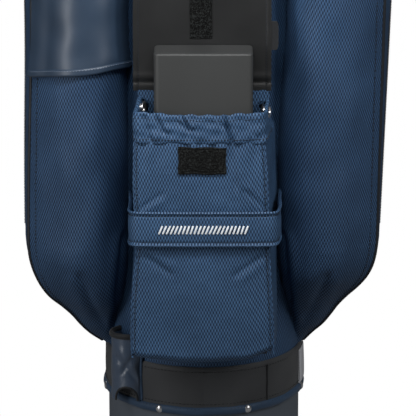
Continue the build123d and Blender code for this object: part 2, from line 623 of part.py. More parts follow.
# ---------------------------------------------------------------- shoulder strap at the back
PIN_RADIUS, EYE_CLEARANCE = 3.0, 0.1
EYE_HEIGHT, EAR_THICK = 16.0, 4.0
LUG_BACK = 121.0
with BuildPart() as strap_lugs:
    for level in STRAP_LUG_Z:
        with BuildSketch(Plane.XY.offset(level - EYE_HEIGHT / 2 - 0.4 - EAR_THICK)):
            with Locations((0, LUG_BACK + 0.9)):
                Rectangle(26, 1.8)
        extrude(amount=EYE_HEIGHT + 0.8 + 2 * EAR_THICK)
        for ear in (level - EYE_HEIGHT / 2 - 0.4 - EAR_THICK, level + EYE_HEIGHT / 2 + 0.4):
            with BuildSketch(Plane.XY.offset(ear)):
                with Locations((0, (LUG_BACK + STRAP_PIVOT_Y) / 2)):
                    Rectangle(13, STRAP_PIVOT_Y - LUG_BACK)
                with Locations((0, STRAP_PIVOT_Y)):
                    Circle(6.5)
            extrude(amount=EAR_THICK)
        with BuildSketch(Plane.XY.offset(level - EYE_HEIGHT / 2 - 1)):
            with Locations((0, STRAP_PIVOT_Y)):
                Circle(PIN_RADIUS)
        extrude(amount=EYE_HEIGHT + 2)
strap_lugs.part.label = "strap_lugs"
export_step(strap_lugs.part, "parts/strap_lugs.step")

ARM_REACH = 24.0
with BuildPart() as strap_hooks:
    for level in STRAP_LUG_Z:
        with BuildSketch(Plane.XY.offset(level - EYE_HEIGHT / 2)):
            with Locations((0, STRAP_PIVOT_Y + ARM_REACH / 2)):
                Rectangle(9, ARM_REACH)
            with Locations((0, STRAP_PIVOT_Y)):
                Circle(6.4)
                Circle(PIN_RADIUS + EYE_CLEARANCE, mode=Mode.SUBTRACT)
        extrude(amount=EYE_HEIGHT)
strap_hooks.part.label = "strap_hooks"
export_step(strap_hooks.part, "parts/strap_hooks.step")

STRAP_POINTS = ((154.0, 772.0), (158.0, 745.0), (176.0, 690.0), (186.0, 620.0), (188.0, 551.0),
                (186.0, 482.0), (176.0, 412.0), (158.0, 357.0), (154.0, 330.0))


def strap_ribbon(thick, width, points):
    """Ribbon that follows points (y, z) in the middle plane, thick across its face, width along X."""
    with BuildPart() as ribbon:
        with BuildSketch(Plane.YZ):
            with BuildLine():
                near = Polyline(*[(y - thick / 2, z) for y, z in points])
                far = Polyline(*[(y + thick / 2, z) for y, z in points])
                Line(near @ 0, far @ 0)
                Line(near @ 1, far @ 1)
            make_face()
        extrude(amount=width / 2, both=True)
    return ribbon


webbing = strap_ribbon(2.6, 38.0, STRAP_POINTS)
webbing.part.label = "strap_webbing"
export_step(webbing.part, "parts/strap_webbing.step")

pad = strap_ribbon(10.0, 62.0, [(y + 6.4, z) for y, z in STRAP_POINTS[2:7]])
pad.part.label = "strap_pad"
export_step(pad.part, "parts/strap_pad.step")
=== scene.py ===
"""Golf bag for a trolley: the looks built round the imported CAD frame.

+Z up, front towards -Y. Shapes are worked out in millimetres, and build() turns them into metres.
u runs across a piece or along its section, v runs up it or along its path, both from 0 to 1.
"""
from math import cos, pi, radians, sin

import bpy
import numpy as np
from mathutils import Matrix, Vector


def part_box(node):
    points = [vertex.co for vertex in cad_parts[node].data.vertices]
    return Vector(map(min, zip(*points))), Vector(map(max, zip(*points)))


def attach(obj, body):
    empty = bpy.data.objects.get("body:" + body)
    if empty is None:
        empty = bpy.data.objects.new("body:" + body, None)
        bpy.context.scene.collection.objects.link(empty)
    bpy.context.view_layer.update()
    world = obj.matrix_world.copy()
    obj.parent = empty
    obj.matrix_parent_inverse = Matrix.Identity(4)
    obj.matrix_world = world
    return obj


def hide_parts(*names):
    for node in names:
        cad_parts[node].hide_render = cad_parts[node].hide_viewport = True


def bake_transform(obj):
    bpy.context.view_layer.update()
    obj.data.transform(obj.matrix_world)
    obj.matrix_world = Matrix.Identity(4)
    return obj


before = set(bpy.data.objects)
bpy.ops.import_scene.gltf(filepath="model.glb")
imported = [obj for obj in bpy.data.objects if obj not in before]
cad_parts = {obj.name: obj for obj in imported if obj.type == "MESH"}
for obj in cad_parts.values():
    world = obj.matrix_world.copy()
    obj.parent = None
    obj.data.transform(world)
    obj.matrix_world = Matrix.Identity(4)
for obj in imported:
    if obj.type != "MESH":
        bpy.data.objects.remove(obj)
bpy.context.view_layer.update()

MM = 0.001
TAU = 2 * pi
SIDES = ((-1, "left"), (1, "right"))


def box(node):
    """Lowest and highest corner of a CAD node in millimetres."""
    low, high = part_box(node)
    return np.array(low) / MM, np.array(high) / MM


def between(low, high, t):
    """Goes evenly from low to high as t goes from 0 to 1."""
    return low + (high - low) * t


# ------------------------------------------------------------------ sizes taken from the frame
body_low, body_high = box("body_panel_right")
BODY_A = body_high[0]                    # half the width of the body's ellipse
BODY_B = -box("body_panel_front")[0][1]  # half its depth
BODY_BOTTOM, BODY_TOP = body_low[2], body_high[2]
rim_low, rim_high = box("rim_binding")
collar_high = box("base_collar")[1]
hem_low = box("pouch_hem")[0]
pouch_low = box("pouch_front")[0]
flap_low, flap_high = box("flap_foot")[0], box("flap_lip")[1]
cover_high = box("left_cover_panel")[1]
pad_low, pad_high = box("back_pad")
sleeve_low, sleeve_high = box("left_umbrella_sleeve")
COLLAR = collar_high[0] - BODY_A         # how far the collar stands out

# ------------------------------------------------------------------ camera and light
CAMERA_PLACE = (0.0047, -3.021, 1.0405)
CAMERA_PITCH = radians(14.5)             # looking down
FIELD = 0.14561                          # width of the view at one metre


def make_camera():
    """A long lens in front of the bag, looking slightly down on it."""
    data = bpy.data.cameras.new("camera")
    data.sensor_width = 36
    data.lens = data.sensor_width / FIELD
    data.clip_end = 60
    camera = bpy.data.objects.new("camera", data)
    camera.location = CAMERA_PLACE
    camera.rotation_euler = (pi / 2 - CAMERA_PITCH, 0, 0)
    bpy.context.scene.collection.objects.link(camera)
    bpy.context.scene.camera = camera


def make_light(name, place, aim, size, power):
    """A rectangular soft box at a place, facing a point. Sizes are in metres and power in watts."""
    data = bpy.data.lights.new(name, "AREA")
    data.shape = "RECTANGLE"
    data.size, data.size_y = size
    data.energy = power
    light = bpy.data.objects.new(name, data)
    light.location = place
    light.rotation_euler = (Vector(place) - Vector(aim)).to_track_quat("Z", "Y").to_euler()
    bpy.context.scene.collection.objects.link(light)


# ------------------------------------------------------------------ shader expressions
class Value:
    """An output socket. Arithmetic on it adds Math nodes."""

    def __init__(self, finish, socket):
        self.finish, self.socket = finish, socket

    def math(self, operation, *others):
        return self.finish.node("ShaderNodeMath", {"operation": operation}, dict(enumerate((self, *others))))

    def __add__(self, other):
        return self.math("ADD", other)

    def __sub__(self, other):
        return self.math("SUBTRACT", other)

    def __rsub__(self, other):
        return self.finish.node("ShaderNodeMath", {"operation": "SUBTRACT"}, {0: other, 1: self})

    def __mul__(self, other):
        return self.math("MULTIPLY", other)

    __radd__, __rmul__ = __add__, __mul__

    def cosine(self):
        return self.math("COSINE")

    def distance_from_half(self):
        """A zigzag: how far the part after the point is from a half."""
        return (self.math("FRACT") - 0.5).math("ABSOLUTE")

    def clamp(self):
        return self.finish.node("ShaderNodeClamp", {}, {"Value": self})


class Finish:
    """A material under construction: one Principled shader and the nodes that feed it."""

    def __init__(self, name, **constants):
        self.material = bpy.data.materials.new(name)
        self.material.use_nodes = True
        self.tree = self.material.node_tree
        self.shader = self.tree.nodes["Principled BSDF"]
        for socket, value in constants.items():
            self.shader.inputs[socket.replace("_", " ")].default_value = value

    def node(self, kind, settings=None, inputs=None, output=0):
        """Any node: its type, its settings, and the values or links of its sockets."""
        made = self.tree.nodes.new(kind)
        for setting, value in (settings or {}).items():
            setattr(made, setting, value)
        for socket, value in (inputs or {}).items():
            if isinstance(value, Value):
                self.tree.links.new(value.socket, made.inputs[socket])
            else:
                made.inputs[socket].default_value = value
        return Value(self, made.outputs[output])

    def feed(self, **inputs):
        """Links values into the shader's sockets and gives the finished material."""
        for socket, value in inputs.items():
            self.tree.links.new(value.socket, self.shader.inputs[socket.replace("_", " ")])
        return self.material

    def place(self, stretch=(1, 1, 1)):
        """Object coordinates in metres, stretched."""
        return self.node("ShaderNodeMapping", {}, {"Vector": self.node("ShaderNodeTexCoord", output=3),
                                                   "Scale": stretch})

    def cloth(self, stretch=(1, 1, 1)):
        """The piece's own cloth coordinates in metres, stretched."""
        return self.node("ShaderNodeMapping", {}, {"Vector": self.node("ShaderNodeUVMap", {"uv_map": "cloth"}),
                                                   "Scale": stretch})

    def axes(self, vector):
        """The first two numbers of a vector."""
        return [self.node("ShaderNodeSeparateXYZ", {}, {0: vector}, output=k) for k in (0, 1)]

    def noise(self, vector, scale, detail=2.0, rough=0.5):
        """Soft cloudy noise from 0 to 1, its scale in clouds for each metre."""
        return self.node("ShaderNodeTexNoise", {}, {"Vector": vector, "Scale": scale, "Detail": detail,
                                                    "Roughness": rough})

    def blend(self, factor, low, high):
        """A colour between two colours or colour values."""
        return self.node("ShaderNodeMix", {"data_type": "RGBA"}, {0: factor, 6: low, 7: high}, output=2)

    def bump(self, height, distance, strength=1.0):
        """Normals tilted by a height that stands for a distance in metres."""
        return self.node("ShaderNodeBump", {}, {"Height": height, "Distance": distance, "Strength": strength})


def shade(colour, factor):
    """A colour made darker or lighter."""
    return (*(part * factor for part in colour[:3]), 1)


# ------------------------------------------------------------------ materials
DOT_WIDTH, DOT_ROW = 3.2 * MM, 3.35 * MM     # spacing of the dobby floats in a row, and of the rows
THREAD = 1.9 * MM                            # spacing of the threads that show through a coating
RIB = 1.6 * MM                               # spacing of the ribs of webbing


def dobby_fabric(name, dark, light):
    """Dobby cloth: light floats in staggered rows on a dark ground, the product of a cosine across and
    one along the cloth, with fine threads and slow fading."""
    f = Finish(name, Specular_IOR_Level=0.35)
    cloth = f.cloth()
    across, along = f.axes(cloth)
    waver = (f.noise(cloth, 70) - 0.5) * 1.3
    dots = (across * (TAU / DOT_WIDTH) + waver).cosine() * (along * (pi / DOT_ROW) + waver * 0.4).cosine()
    threads = f.noise(f.cloth((1, 0.3, 1)), 1300)
    slow = f.noise(cloth, 16, 3)
    raised = (dots * 0.6 + 0.42 + (threads - 0.5) * 0.6 + (slow - 0.5) * 0.3).clamp()
    colour = f.blend(raised, dark, f.blend(slow, shade(light, 0.8), shade(light, 1.2)))
    return f.feed(Base_Color=colour, Roughness=0.78 - raised * 0.3,
                  Normal=f.bump(dots * 0.5 + threads * 0.3, 0.45 * MM, 0.6))


def plain_weave(name, colour, count=1100.0, rough=0.8, sheen=0.1, spread=1.6):
    """Plain-woven cloth: threads over and under in a chequer, fuzz, and slow variation."""
    f = Finish(name, Sheen_Weight=sheen, Specular_IOR_Level=0.3)
    cloth = f.cloth()
    across, along = f.axes(cloth)
    weave = (across * (count * pi)).cosine() * (along * (count * pi)).cosine()
    fuzz = f.noise(cloth, 900, 3)
    slow = f.noise(cloth, 18, 3)
    tone = (slow * 0.6 + fuzz * 0.3 + weave * 0.12).clamp()
    return f.feed(Base_Color=f.blend(tone, shade(colour, 1 / spread), shade(colour, spread)),
                  Roughness=rough - 0.12 + fuzz * 0.2, Normal=f.bump(weave * 0.5 + fuzz * 0.5, 0.2 * MM, 0.5))


def coated_cloth(name, colour, rough=0.36, coat=0.25):
    """Cloth under a glossy coating: the thread grid shows faintly, and the gloss drifts."""
    f = Finish(name, Coat_Weight=coat, Coat_Roughness=0.38)
    cloth = f.cloth()
    across, along = f.axes(cloth)
    grid = (across * (TAU / THREAD)).cosine() * (along * (TAU / THREAD)).cosine()
    drift = f.noise(cloth, 26, 3)
    tone = (drift * 0.6 + grid * 0.25 + 0.2).clamp()
    return f.feed(Base_Color=f.blend(tone, shade(colour, 0.65), shade(colour, 1.4)),
                  Roughness=rough + (drift - 0.5) * 0.16 + grid * 0.05,
                  Normal=f.bump(grid * 0.3 + drift * 2, 0.3 * MM, 0.35))


def fuzzy_tape(name, colour):
    """Hook and loop tape: a mat of small hooks, lighter at their tips and in clumps."""
    f = Finish(name, Roughness=0.95, Sheen_Weight=0.08, Specular_IOR_Level=0.1)
    tufts = f.noise(f.place(), 620, 3, 0.7)
    clumps = f.noise(f.place(), 230, 3)
    tone = ((tufts - 0.46) * 4 * (clumps + 0.5)).clamp()
    return f.feed(Base_Color=f.blend(tone, shade(colour, 0.4), shade(colour, 15)),
                  Normal=f.bump(tufts, 1.1 * MM))


def webbing_cloth(name, colour):
    """Woven strap: ribs across it in a herringbone."""
    f = Finish(name, Roughness=0.62, Sheen_Weight=0.15, Specular_IOR_Level=0.4)
    cloth = f.cloth()
    across, along = f.axes(cloth)
    ribs = (along * (TAU / RIB) + (across * 90).distance_from_half() * 14).cosine()
    fuzz = f.noise(cloth, 1400)
    tone = (ribs * 0.35 + fuzz * 0.6 + 0.1).clamp()
    return f.feed(Base_Color=f.blend(tone, colour, shade(colour, 2.6)),
                  Normal=f.bump(ribs + fuzz * 0.4, 0.3 * MM, 0.6))


def moulded(name, colour, rough=0.5, grain=1400.0, lift=0.25):
    """Moulded plastic or rubber: leathery grain, faint flow marks, slightly uneven gloss."""
    f = Finish(name, Specular_IOR_Level=0.45)
    cells = f.node("ShaderNodeTexVoronoi", {}, {"Vector": f.place(), "Scale": grain * 0.6})
    fine = f.noise(f.place(), grain, 3)
    flow = f.noise(f.place((1, 1, 0.3)), 12, 3)
    tone = (flow * 0.7 + fine * 0.3).clamp()
    return f.feed(Base_Color=f.blend(tone, shade(colour, 0.82), shade(colour, 1.2)),
                  Roughness=rough - 0.05 + flow * 0.08 + fine * 0.05,
                  Normal=f.bump(cells * 0.6 + fine * 0.4, 0.15 * MM, lift))


def bright_metal(name, colour):
    """Plated metal with fine scratches and slightly cloudy patches."""
    f = Finish(name, Metallic=1.0)
    scratch = f.noise(f.place((1, 1, 14)), 500, 3)
    cloud = f.noise(f.place(), 90, 3)
    return f.feed(Base_Color=f.blend(cloud, shade(colour, 0.72), colour),
                  Roughness=0.18 + scratch * 0.12 + cloud * 0.1, Normal=f.bump(scratch, 0.05 * MM, 0.2))


RECIPES = {
    "navy_dobby": (dobby_fabric, (0.0018, 0.0125, 0.038, 1), (0.064, 0.142, 0.272, 1)),
    # The same navy dobby as the pouch, darkened: painted shade for the side pockets and the body.
    "pocket_dobby": (dobby_fabric, (0.0014, 0.0105, 0.033, 1), (0.044, 0.102, 0.205, 1)),
    "coated_fabric": (coated_cloth, (0.020, 0.038, 0.068, 1), 0.44, 0.5),
    "sleeve_coating": (coated_cloth, (0.032, 0.052, 0.088, 1), 0.34, 0.6),
    # Light grey: a painted reflection of the white surroundings on the glancing coated patch.
    "patch_coating": (coated_cloth, (0.45, 0.46, 0.49, 1), 0.35, 0.3),
    "black_nylon": (plain_weave, (0.015, 0.016, 0.017, 1), 1000),
    "flap_nylon": (coated_cloth, (0.012, 0.0125, 0.013, 1), 0.4, 0.15),
    "collar_nylon": (plain_weave, (0.034, 0.036, 0.039, 1), 900, 0.62),
    "binding_fabric": (plain_weave, (0.020, 0.043, 0.082, 1), 800, 0.6),
    "binding_black": (plain_weave, (0.010, 0.011, 0.013, 1), 800, 0.7),
    "webbing": (webbing_cloth, (0.010, 0.010, 0.012, 1)),
    "hook_tape": (fuzzy_tape, (0.0016, 0.0018, 0.0018, 1)),
    "zip_tape": (webbing_cloth, (0.008, 0.009, 0.012, 1)),
    "black_piping": (moulded, (0.012, 0.014, 0.018, 1), 0.42, 900),
    "cup_plastic": (moulded, (0.078, 0.093, 0.114, 1), 0.55),
    "black_plastic": (moulded, (0.020, 0.020, 0.022, 1), 0.45),
    "box_plastic": (moulded, (0.036, 0.0375, 0.0375, 1), 0.5, 2200, 0.12),
    "rubber": (moulded, (0.018, 0.018, 0.018, 1), 0.8, 700),
    "steel": (bright_metal, (0.80, 0.80, 0.82, 1)),
    "dark_thread": (plain_weave, (0.006, 0.010, 0.017, 1), 2500),
    "light_thread": (plain_weave, (0.16, 0.20, 0.27, 1), 2500),
    "white_mark": (plain_weave, (0.82, 0.86, 0.90, 1), 1500, 0.6, 0.0, 1.1),
    "pad_mesh": (dobby_fabric, (0.006, 0.006, 0.007, 1), (0.045, 0.047, 0.052, 1)),
}
MATERIALS = {name: recipe(name, *values) for name, (recipe, *values) in RECIPES.items()}


# ------------------------------------------------------------------ small mathematics
def unit(vectors):
    """Vectors at length one."""
    return vectors / np.maximum(np.linalg.norm(vectors, axis=-1, keepdims=True), 1e-12)


def smooth(t):
    """Rises from 0 to 1, slow at both ends."""
    t = np.clip(t, 0, 1)
    return t * t * (3 - 2 * t)


def hump(x, middle, width):
    """A bell of height one."""
    return np.exp(-(((x - middle) / width) ** 2))


def wobble(x, y, seed, scale):
    """Soft unevenness, about -1 to 1: sine waves in fixed directions, their length near the scale."""
    draw = np.random.default_rng(seed)
    total = 0
    waves = zip(draw.uniform(0, TAU, 7), draw.uniform(0, TAU, 7), draw.uniform(0.6, 1.6, 7))
    for turn, phase, pitch in waves:
        total = total + np.sin((x * cos(turn) + y * sin(turn)) * TAU * pitch / scale + phase)
    return total / 4


def cubic(points, t):
    """Cubic curve of four control points. Each is (x, y), numbers or arrays that go with t."""
    s = 1 - t
    weights = (s**3, 3 * s * s * t, 3 * s * t * t, t**3)
    return [sum(w * p[k] for w, p in zip(weights, points)) for k in (0, 1)]


def through(points, t):
    """Smooth curve through points, t from 0 to 1: Catmull and Rom's cubic between each pair."""
    points = np.asarray(points, float)
    padded = np.concatenate([2 * points[:1] - points[1:2], points, 2 * points[-1:] - points[-2:-1]])
    t = np.asarray(t, float) * (len(points) - 1)
    k = np.clip(t.astype(int), 0, len(points) - 2)
    s = (t - k)[..., None]
    a, b, c, d = (padded[k + i] for i in range(4))
    return 0.5 * (2 * b + (c - a) * s + (2 * a - 5 * b + 4 * c - d) * s**2 + (3 * b - a - 3 * c + d) * s**3)


def stack(*parts):
    """Points from their coordinates, which may be arrays or numbers."""
    return np.stack(np.broadcast_arrays(*parts), -1).astype(float)


def square_to(x, y, z):
    """Level directions square to a line of points, on its right as it runs."""
    return unit(np.cross(np.gradient(stack(x, y, 0 * z), axis=0), (0, 0, 1.0)))


def from_edge(u, v, width, height):
    """Distance from the nearest edge of a rectangle of some width and height."""
    return np.minimum(np.minimum(u, 1 - u) * width, np.minimum(v, 1 - v) * height)


# ------------------------------------------------------------------ mesh making
def build(name, verts, groups, material, body="bag", replaced=(), crease=50):
    """Makes an object from points in millimetres and groups of faces, each with the cloth coordinates of its
    corners. Edges that turn by more than the crease angle are sharp."""
    mesh = bpy.data.meshes.new(name)
    all_faces = [face for faces, _ in groups for face in faces.tolist()]
    mesh.from_pydata((verts.reshape(-1, 3) * MM).tolist(), [], all_faces)
    corners = np.concatenate([np.broadcast_to(uv, (*faces.shape, 2)).reshape(-1, 2) for faces, uv in groups])
    mesh.uv_layers.new(name="cloth").data.foreach_set("uv", (corners * MM).astype(np.float32).ravel())
    mesh.polygons.foreach_set("use_smooth", np.ones(len(mesh.polygons), bool))
    mesh.set_sharp_from_angle(angle=radians(crease))
    mesh.materials.append(MATERIALS[material])
    piece = bpy.data.objects.new(name, mesh)
    bpy.context.scene.collection.objects.link(piece)
    if body:
        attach(piece, body)
    if replaced:
        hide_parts(*replaced)
    return piece


def grid_faces(across, along, round_u=False, round_v=False):
    """Faces of a grid of points, joined round where it closes, and each corner's place on the open grid."""
    i, j = np.meshgrid(np.arange(across - (not round_u)), np.arange(along - (not round_v)), indexing="ij")
    corner_i = np.stack([i, i + 1, i + 1, i], -1).reshape(-1, 4)
    corner_j = np.stack([j, j, j + 1, j + 1], -1).reshape(-1, 4)
    return corner_i % across * along + corner_j % along, corner_i * (along + round_v) + corner_j


def cloth_lengths(points):
    """Lengths over the grid both ways: across from the middle line, and along from the first row."""
    across = np.cumsum(np.linalg.norm(np.diff(points, axis=0, prepend=points[:1]), axis=-1), 0)
    along = np.cumsum(np.linalg.norm(np.diff(points, axis=1, prepend=points[:, :1]), axis=-1), 1)
    return np.stack([across - across[len(across) // 2], along], -1)


def normals(points, faces):
    """Unit normals at the points of a grid, the sum of those of the faces round each."""
    flat = points.reshape(-1, 3)
    corners = [flat[faces[:, k]] for k in range(4)]
    face = np.cross(corners[2] - corners[0], corners[3] - corners[1])
    total = np.zeros_like(flat)
    for k in range(4):
        np.add.at(total, faces[:, k], face)
    return unit(total).reshape(points.shape)


def cloth_piece(name, shape, size, material, body="bag", replaced=(), thick=1.6, closed=False, inside=(0, 0),
                relief=None, crease=50, centred=False, holes=()):
    """A cloth surface shape(u, v) with thickness, cut away round each hole (centre, radius). Its outer skin
    faces away from the upright line at inside, and relief(u, v) lifts it along its normal. The inner skin lies
    a thickness behind, and walls join the two round every free edge. If centred, both skins stand half the
    thickness off the surface."""
    across, along = size
    u, v = np.meshgrid(np.linspace(0, 1, across), np.linspace(0, 1, along), indexing="ij")
    outer = stack(*shape(u, v))
    uv = cloth_lengths(outer).reshape(-1, 2)
    if closed:
        u, v, outer, across = u[:-1], v[:-1], outer[:-1], across - 1
    faces, corners = grid_faces(across, along, closed)
    middle = outer.reshape(-1, 3)[faces].mean(1) - [*inside, 0]
    facing = np.cross(outer.reshape(-1, 3)[faces[:, 2]] - outer.reshape(-1, 3)[faces[:, 0]],
                      outer.reshape(-1, 3)[faces[:, 3]] - outer.reshape(-1, 3)[faces[:, 1]])
    if (facing[:, :2] * middle[:, :2]).sum() < 0:
        faces, corners = faces[:, ::-1], corners[:, ::-1]
    for centre, radius in holes:
        keep = np.linalg.norm(outer.reshape(-1, 3)[faces].mean(1) - centre, axis=1) > radius
        faces, corners = faces[keep], corners[keep]
    if relief:
        outer = outer + normals(outer, faces) * np.broadcast_to(relief(u, v), u.shape)[..., None]
    depth = np.broadcast_to(thick(u, v) if callable(thick) else thick, u.shape)[..., None]
    depth = depth * normals(outer, faces)
    inner = outer - depth
    if centred:
        outer, inner = outer + depth / 2, outer - depth / 2
    count = across * along
    starts, ends = faces.ravel(), np.roll(faces, -1, 1).ravel()
    free = ~np.isin(starts * count + ends, ends * count + starts)
    starts, ends = starts[free], ends[free]
    walls = np.stack([ends, starts, starts + count, ends + count], 1)
    from_corner, to_corner = corners.ravel()[free], np.roll(corners, -1, 1).ravel()[free]
    wall_uv = uv[np.stack([to_corner, from_corner, from_corner, to_corner], 1)]
    groups = [(faces, uv[corners]), (faces[:, ::-1] + count, uv[corners[:, ::-1]]), (walls, wall_uv)]
    points = np.concatenate([outer.reshape(-1, 3), inner.reshape(-1, 3)])
    used = np.unique(np.concatenate([part.ravel() for part, _ in groups]))
    renumbered = np.zeros(len(points), int)
    renumbered[used] = np.arange(len(used))
    return build(name, points[used], [(renumbered[part], place) for part, place in groups], material, body,
                 replaced, crease)


def cut_size(piece):
    """Width and length of a piece of cloth laid flat, in metres, from its cloth coordinates."""
    spots = np.zeros(len(piece.data.loops) * 2, np.float32)
    piece.data.uv_layers["cloth"].data.foreach_get("uv", spots)
    return np.ptp(spots.reshape(-1, 2), axis=0).tolist()


def tube(name, path, radius, material, body="bag", replaced=(), sides=10, closed=False, flat=1.0,
         up=(0, 0, 1)):
    """A round tube carried along a path, or a flattened one, flat being its height over its width. Unless the
    path closes, each end is a small dome."""
    path = np.asarray(path, float)
    if closed:
        tangent = unit(np.roll(path, -1, 0) - np.roll(path, 1, 0))
    else:
        tangent = unit(np.gradient(path, axis=0))
    side = unit(np.cross(tangent, up))
    over = np.cross(side, tangent)
    angle = (np.arange(sides) / sides * TAU)[None, :, None]
    ring = np.cos(angle) * side[:, None] + flat * np.sin(angle) * over[:, None]
    size = np.ones(len(path)) * radius
    if not closed:
        reach, width = np.array([1.0, 0.8, 0.45])[:, None] * size[0], np.array([0.05, 0.6, 0.9])
        path = np.concatenate([path[0] - tangent[0] * reach, path, path[-1] + tangent[-1] * reach[::-1]])
        size = np.concatenate([size[0] * width, size, size[-1] * width[::-1]])
        ring = np.concatenate([ring[[0, 0, 0]], ring, ring[[-1, -1, -1]]])
    verts = path[:, None] + ring * size[:, None, None]
    faces, corners = grid_faces(len(path), sides, closed, True)
    faces, corners = faces[:, ::-1], corners[:, ::-1]
    length = np.cumsum(np.linalg.norm(np.diff(path, axis=0, prepend=path[:1]), axis=1))
    length = np.append(length, length[-1] + np.linalg.norm(path[0] - path[-1])) if closed else length
    uv = stack(np.arange(sides + 1)[None, :] / sides * TAU * np.mean(radius), length[:, None]).reshape(-1, 2)
    groups = [(faces, uv[corners])]
    if not closed:
        last = (len(path) - 1) * sides
        groups.append((np.arange(sides)[None, :], np.zeros(2)))
        groups.append((last + np.arange(sides)[None, ::-1], np.zeros(2)))
    return build(name, verts, groups, material, body, replaced, 75)


def rods(name, stations, out, radius, material, body="bag", replaced=(), sides=5, flat=1.0):
    """Many short rods with blunt ends in one mesh. Each follows its own few stations, an array of rods by
    stations by coordinates, and out is the way its flat side faces."""
    tangent = unit(np.gradient(stations, axis=1))
    side = unit(np.cross(tangent, out))
    over = np.cross(side, tangent)
    count, steps = stations.shape[:2]
    size = np.full(steps, float(radius))
    size[[0, -1]] *= 0.5
    angle = (np.arange(sides) / sides * TAU)[:, None]
    ring = np.cos(angle) * side[:, :, None] + flat * np.sin(angle) * over[:, :, None]
    verts = stations[:, :, None] + ring * size[None, :, None, None]
    faces, _ = grid_faces(steps, sides, False, True)
    first = (np.arange(count) * steps * sides)[:, None, None]
    faces = (faces[None, :, ::-1] + first).reshape(-1, 4)
    ends = first[:, 0] + np.arange(sides)[None, :]
    uv = stations[:, 0, [0, 2]]
    groups = [(faces, np.repeat(uv, len(faces) // count, 0)[:, None]), (ends, uv[:, None]),
              (ends[:, ::-1] + (steps - 1) * sides, uv[:, None])]
    return build(name, verts, groups, material, body, replaced, 75)


def stitches(name, path, out, material="dark_thread", pitch=3.2, length=2.1, radius=0.42, body="bag",
             lift=0.1):
    """A row of stitches on a path: each a short rod along it that dips into the cloth at both ends."""
    path = np.asarray(path, float)
    out = np.broadcast_to(np.asarray(out, float), path.shape)
    run = np.concatenate([[0], np.cumsum(np.linalg.norm(np.diff(path, axis=0), axis=1))])
    count = max(int(run[-1] / pitch), 1)
    middle = (np.arange(count) + 0.5) * run[-1] / count
    spots = middle[:, None] + np.array([-0.5, -0.25, 0.25, 0.5]) * length
    centre = stack(*(np.interp(spots, run, path[:, k]) for k in range(3)))
    facing = unit(stack(*(np.interp(spots, run, out[:, k]) for k in range(3))))
    rise = np.array([-radius, lift, lift, -radius])[None, :, None]
    return rods(name, centre + facing * rise, facing, radius, material, body)


def turned(name, profile, places, ways, material, body="bag", replaced=(), sides=14, hollow=False):
    """Turned pieces: a profile of (radius, height) carried round an axis at each place, pointing each way. A
    hollow one's profile closes on itself, and any other is shut by a small face at both ends."""
    profile, places, ways = (np.asarray(a, float) for a in (profile, places, ways))
    ways = unit(ways)
    side = unit(np.cross(ways, np.where(np.abs(ways[:, 2:]) > 0.9, [[1.0, 0, 0]], [[0, 0, 1.0]])))
    over = np.cross(ways, side)
    angle = (np.arange(sides) / sides * TAU)[None, :, None, None]
    ring = np.cos(angle) * side[:, None, None] + np.sin(angle) * over[:, None, None]
    radius, height = profile[None, None, :, :1], profile[None, None, :, 1:]
    verts = places[:, None, None] + ring * radius + ways[:, None, None] * height
    steps = len(profile)
    faces, _ = grid_faces(sides, steps, True, hollow)
    first = (np.arange(len(places)) * sides * steps)[:, None, None]
    groups = [((faces[None, :, ::-1] + first).reshape(-1, 4), np.zeros(2))]
    if not hollow:
        rim = first[:, 0] + (np.arange(sides) * steps)[None, :]
        groups += [(rim[:, ::-1], np.zeros(2)), (rim + steps - 1, np.zeros(2))]
    piece = build(name, verts, groups, material, body, replaced)
    outwards_check(piece)
    return piece


def outwards_check(piece):
    """Turns the faces of a closed piece over if its volume counts as negative."""
    mesh = piece.data
    mesh.calc_loop_triangles()
    points = np.zeros(len(mesh.vertices) * 3)
    mesh.vertices.foreach_get("co", points)
    tris = np.zeros(len(mesh.loop_triangles) * 3, np.int32)
    mesh.loop_triangles.foreach_get("vertices", tris)
    a, b, c = (points.reshape(-1, 3)[tris.reshape(-1, 3)[:, k]] for k in range(3))
    if np.einsum("ij,ij->i", a, np.cross(b, c)).sum() < 0:
        mesh.flip_normals()


# ------------------------------------------------------------------ body, base and cuff
def around(angle, grow=0.0):
    """Point of the body's ellipse, grown outwards, at an angle from the front towards +X."""
    return (BODY_A + grow) * np.sin(angle), -(BODY_B + grow) * np.cos(angle)


def ring_path(level, grow, count):
    """Points round the body at a height, and the outward directions there."""
    angle = np.linspace(0, TAU, count, endpoint=False)
    x, y = around(angle, grow)
    return stack(x, y, level), unit(stack(np.sin(angle) / BODY_A, -np.cos(angle) / BODY_B, 0.0))


RIVETS = 7
RIVET_DOME = [(4.2, -1.0), (4.4, 0.4), (4.1, 0.9), (3.2, 1.7), (2.0, 2.2), (0.9, 2.4), (0.1, 2.45)]


def make_body():
    """The body: an elliptical tube of cloth over a stiff shell. Its radius sways by under a millimetre with the
    height and the angle."""
    def shell(u, v):
        level = between(BODY_BOTTOM, BODY_TOP, v)
        sway = 0.5 + 0.6 * wobble(np.sin(u * TAU) * 90, level, 3, 150)
        return *around(u * TAU, sway), level
    # Its cloth is the darkened navy dobby: painted shade.
    cloth_piece("body_cover", shell, (161, 90), "pocket_dobby", thick=2.4, closed=True,
                replaced=("body_panel_front", "body_panel_right", "body_panel_back", "body_panel_left"))


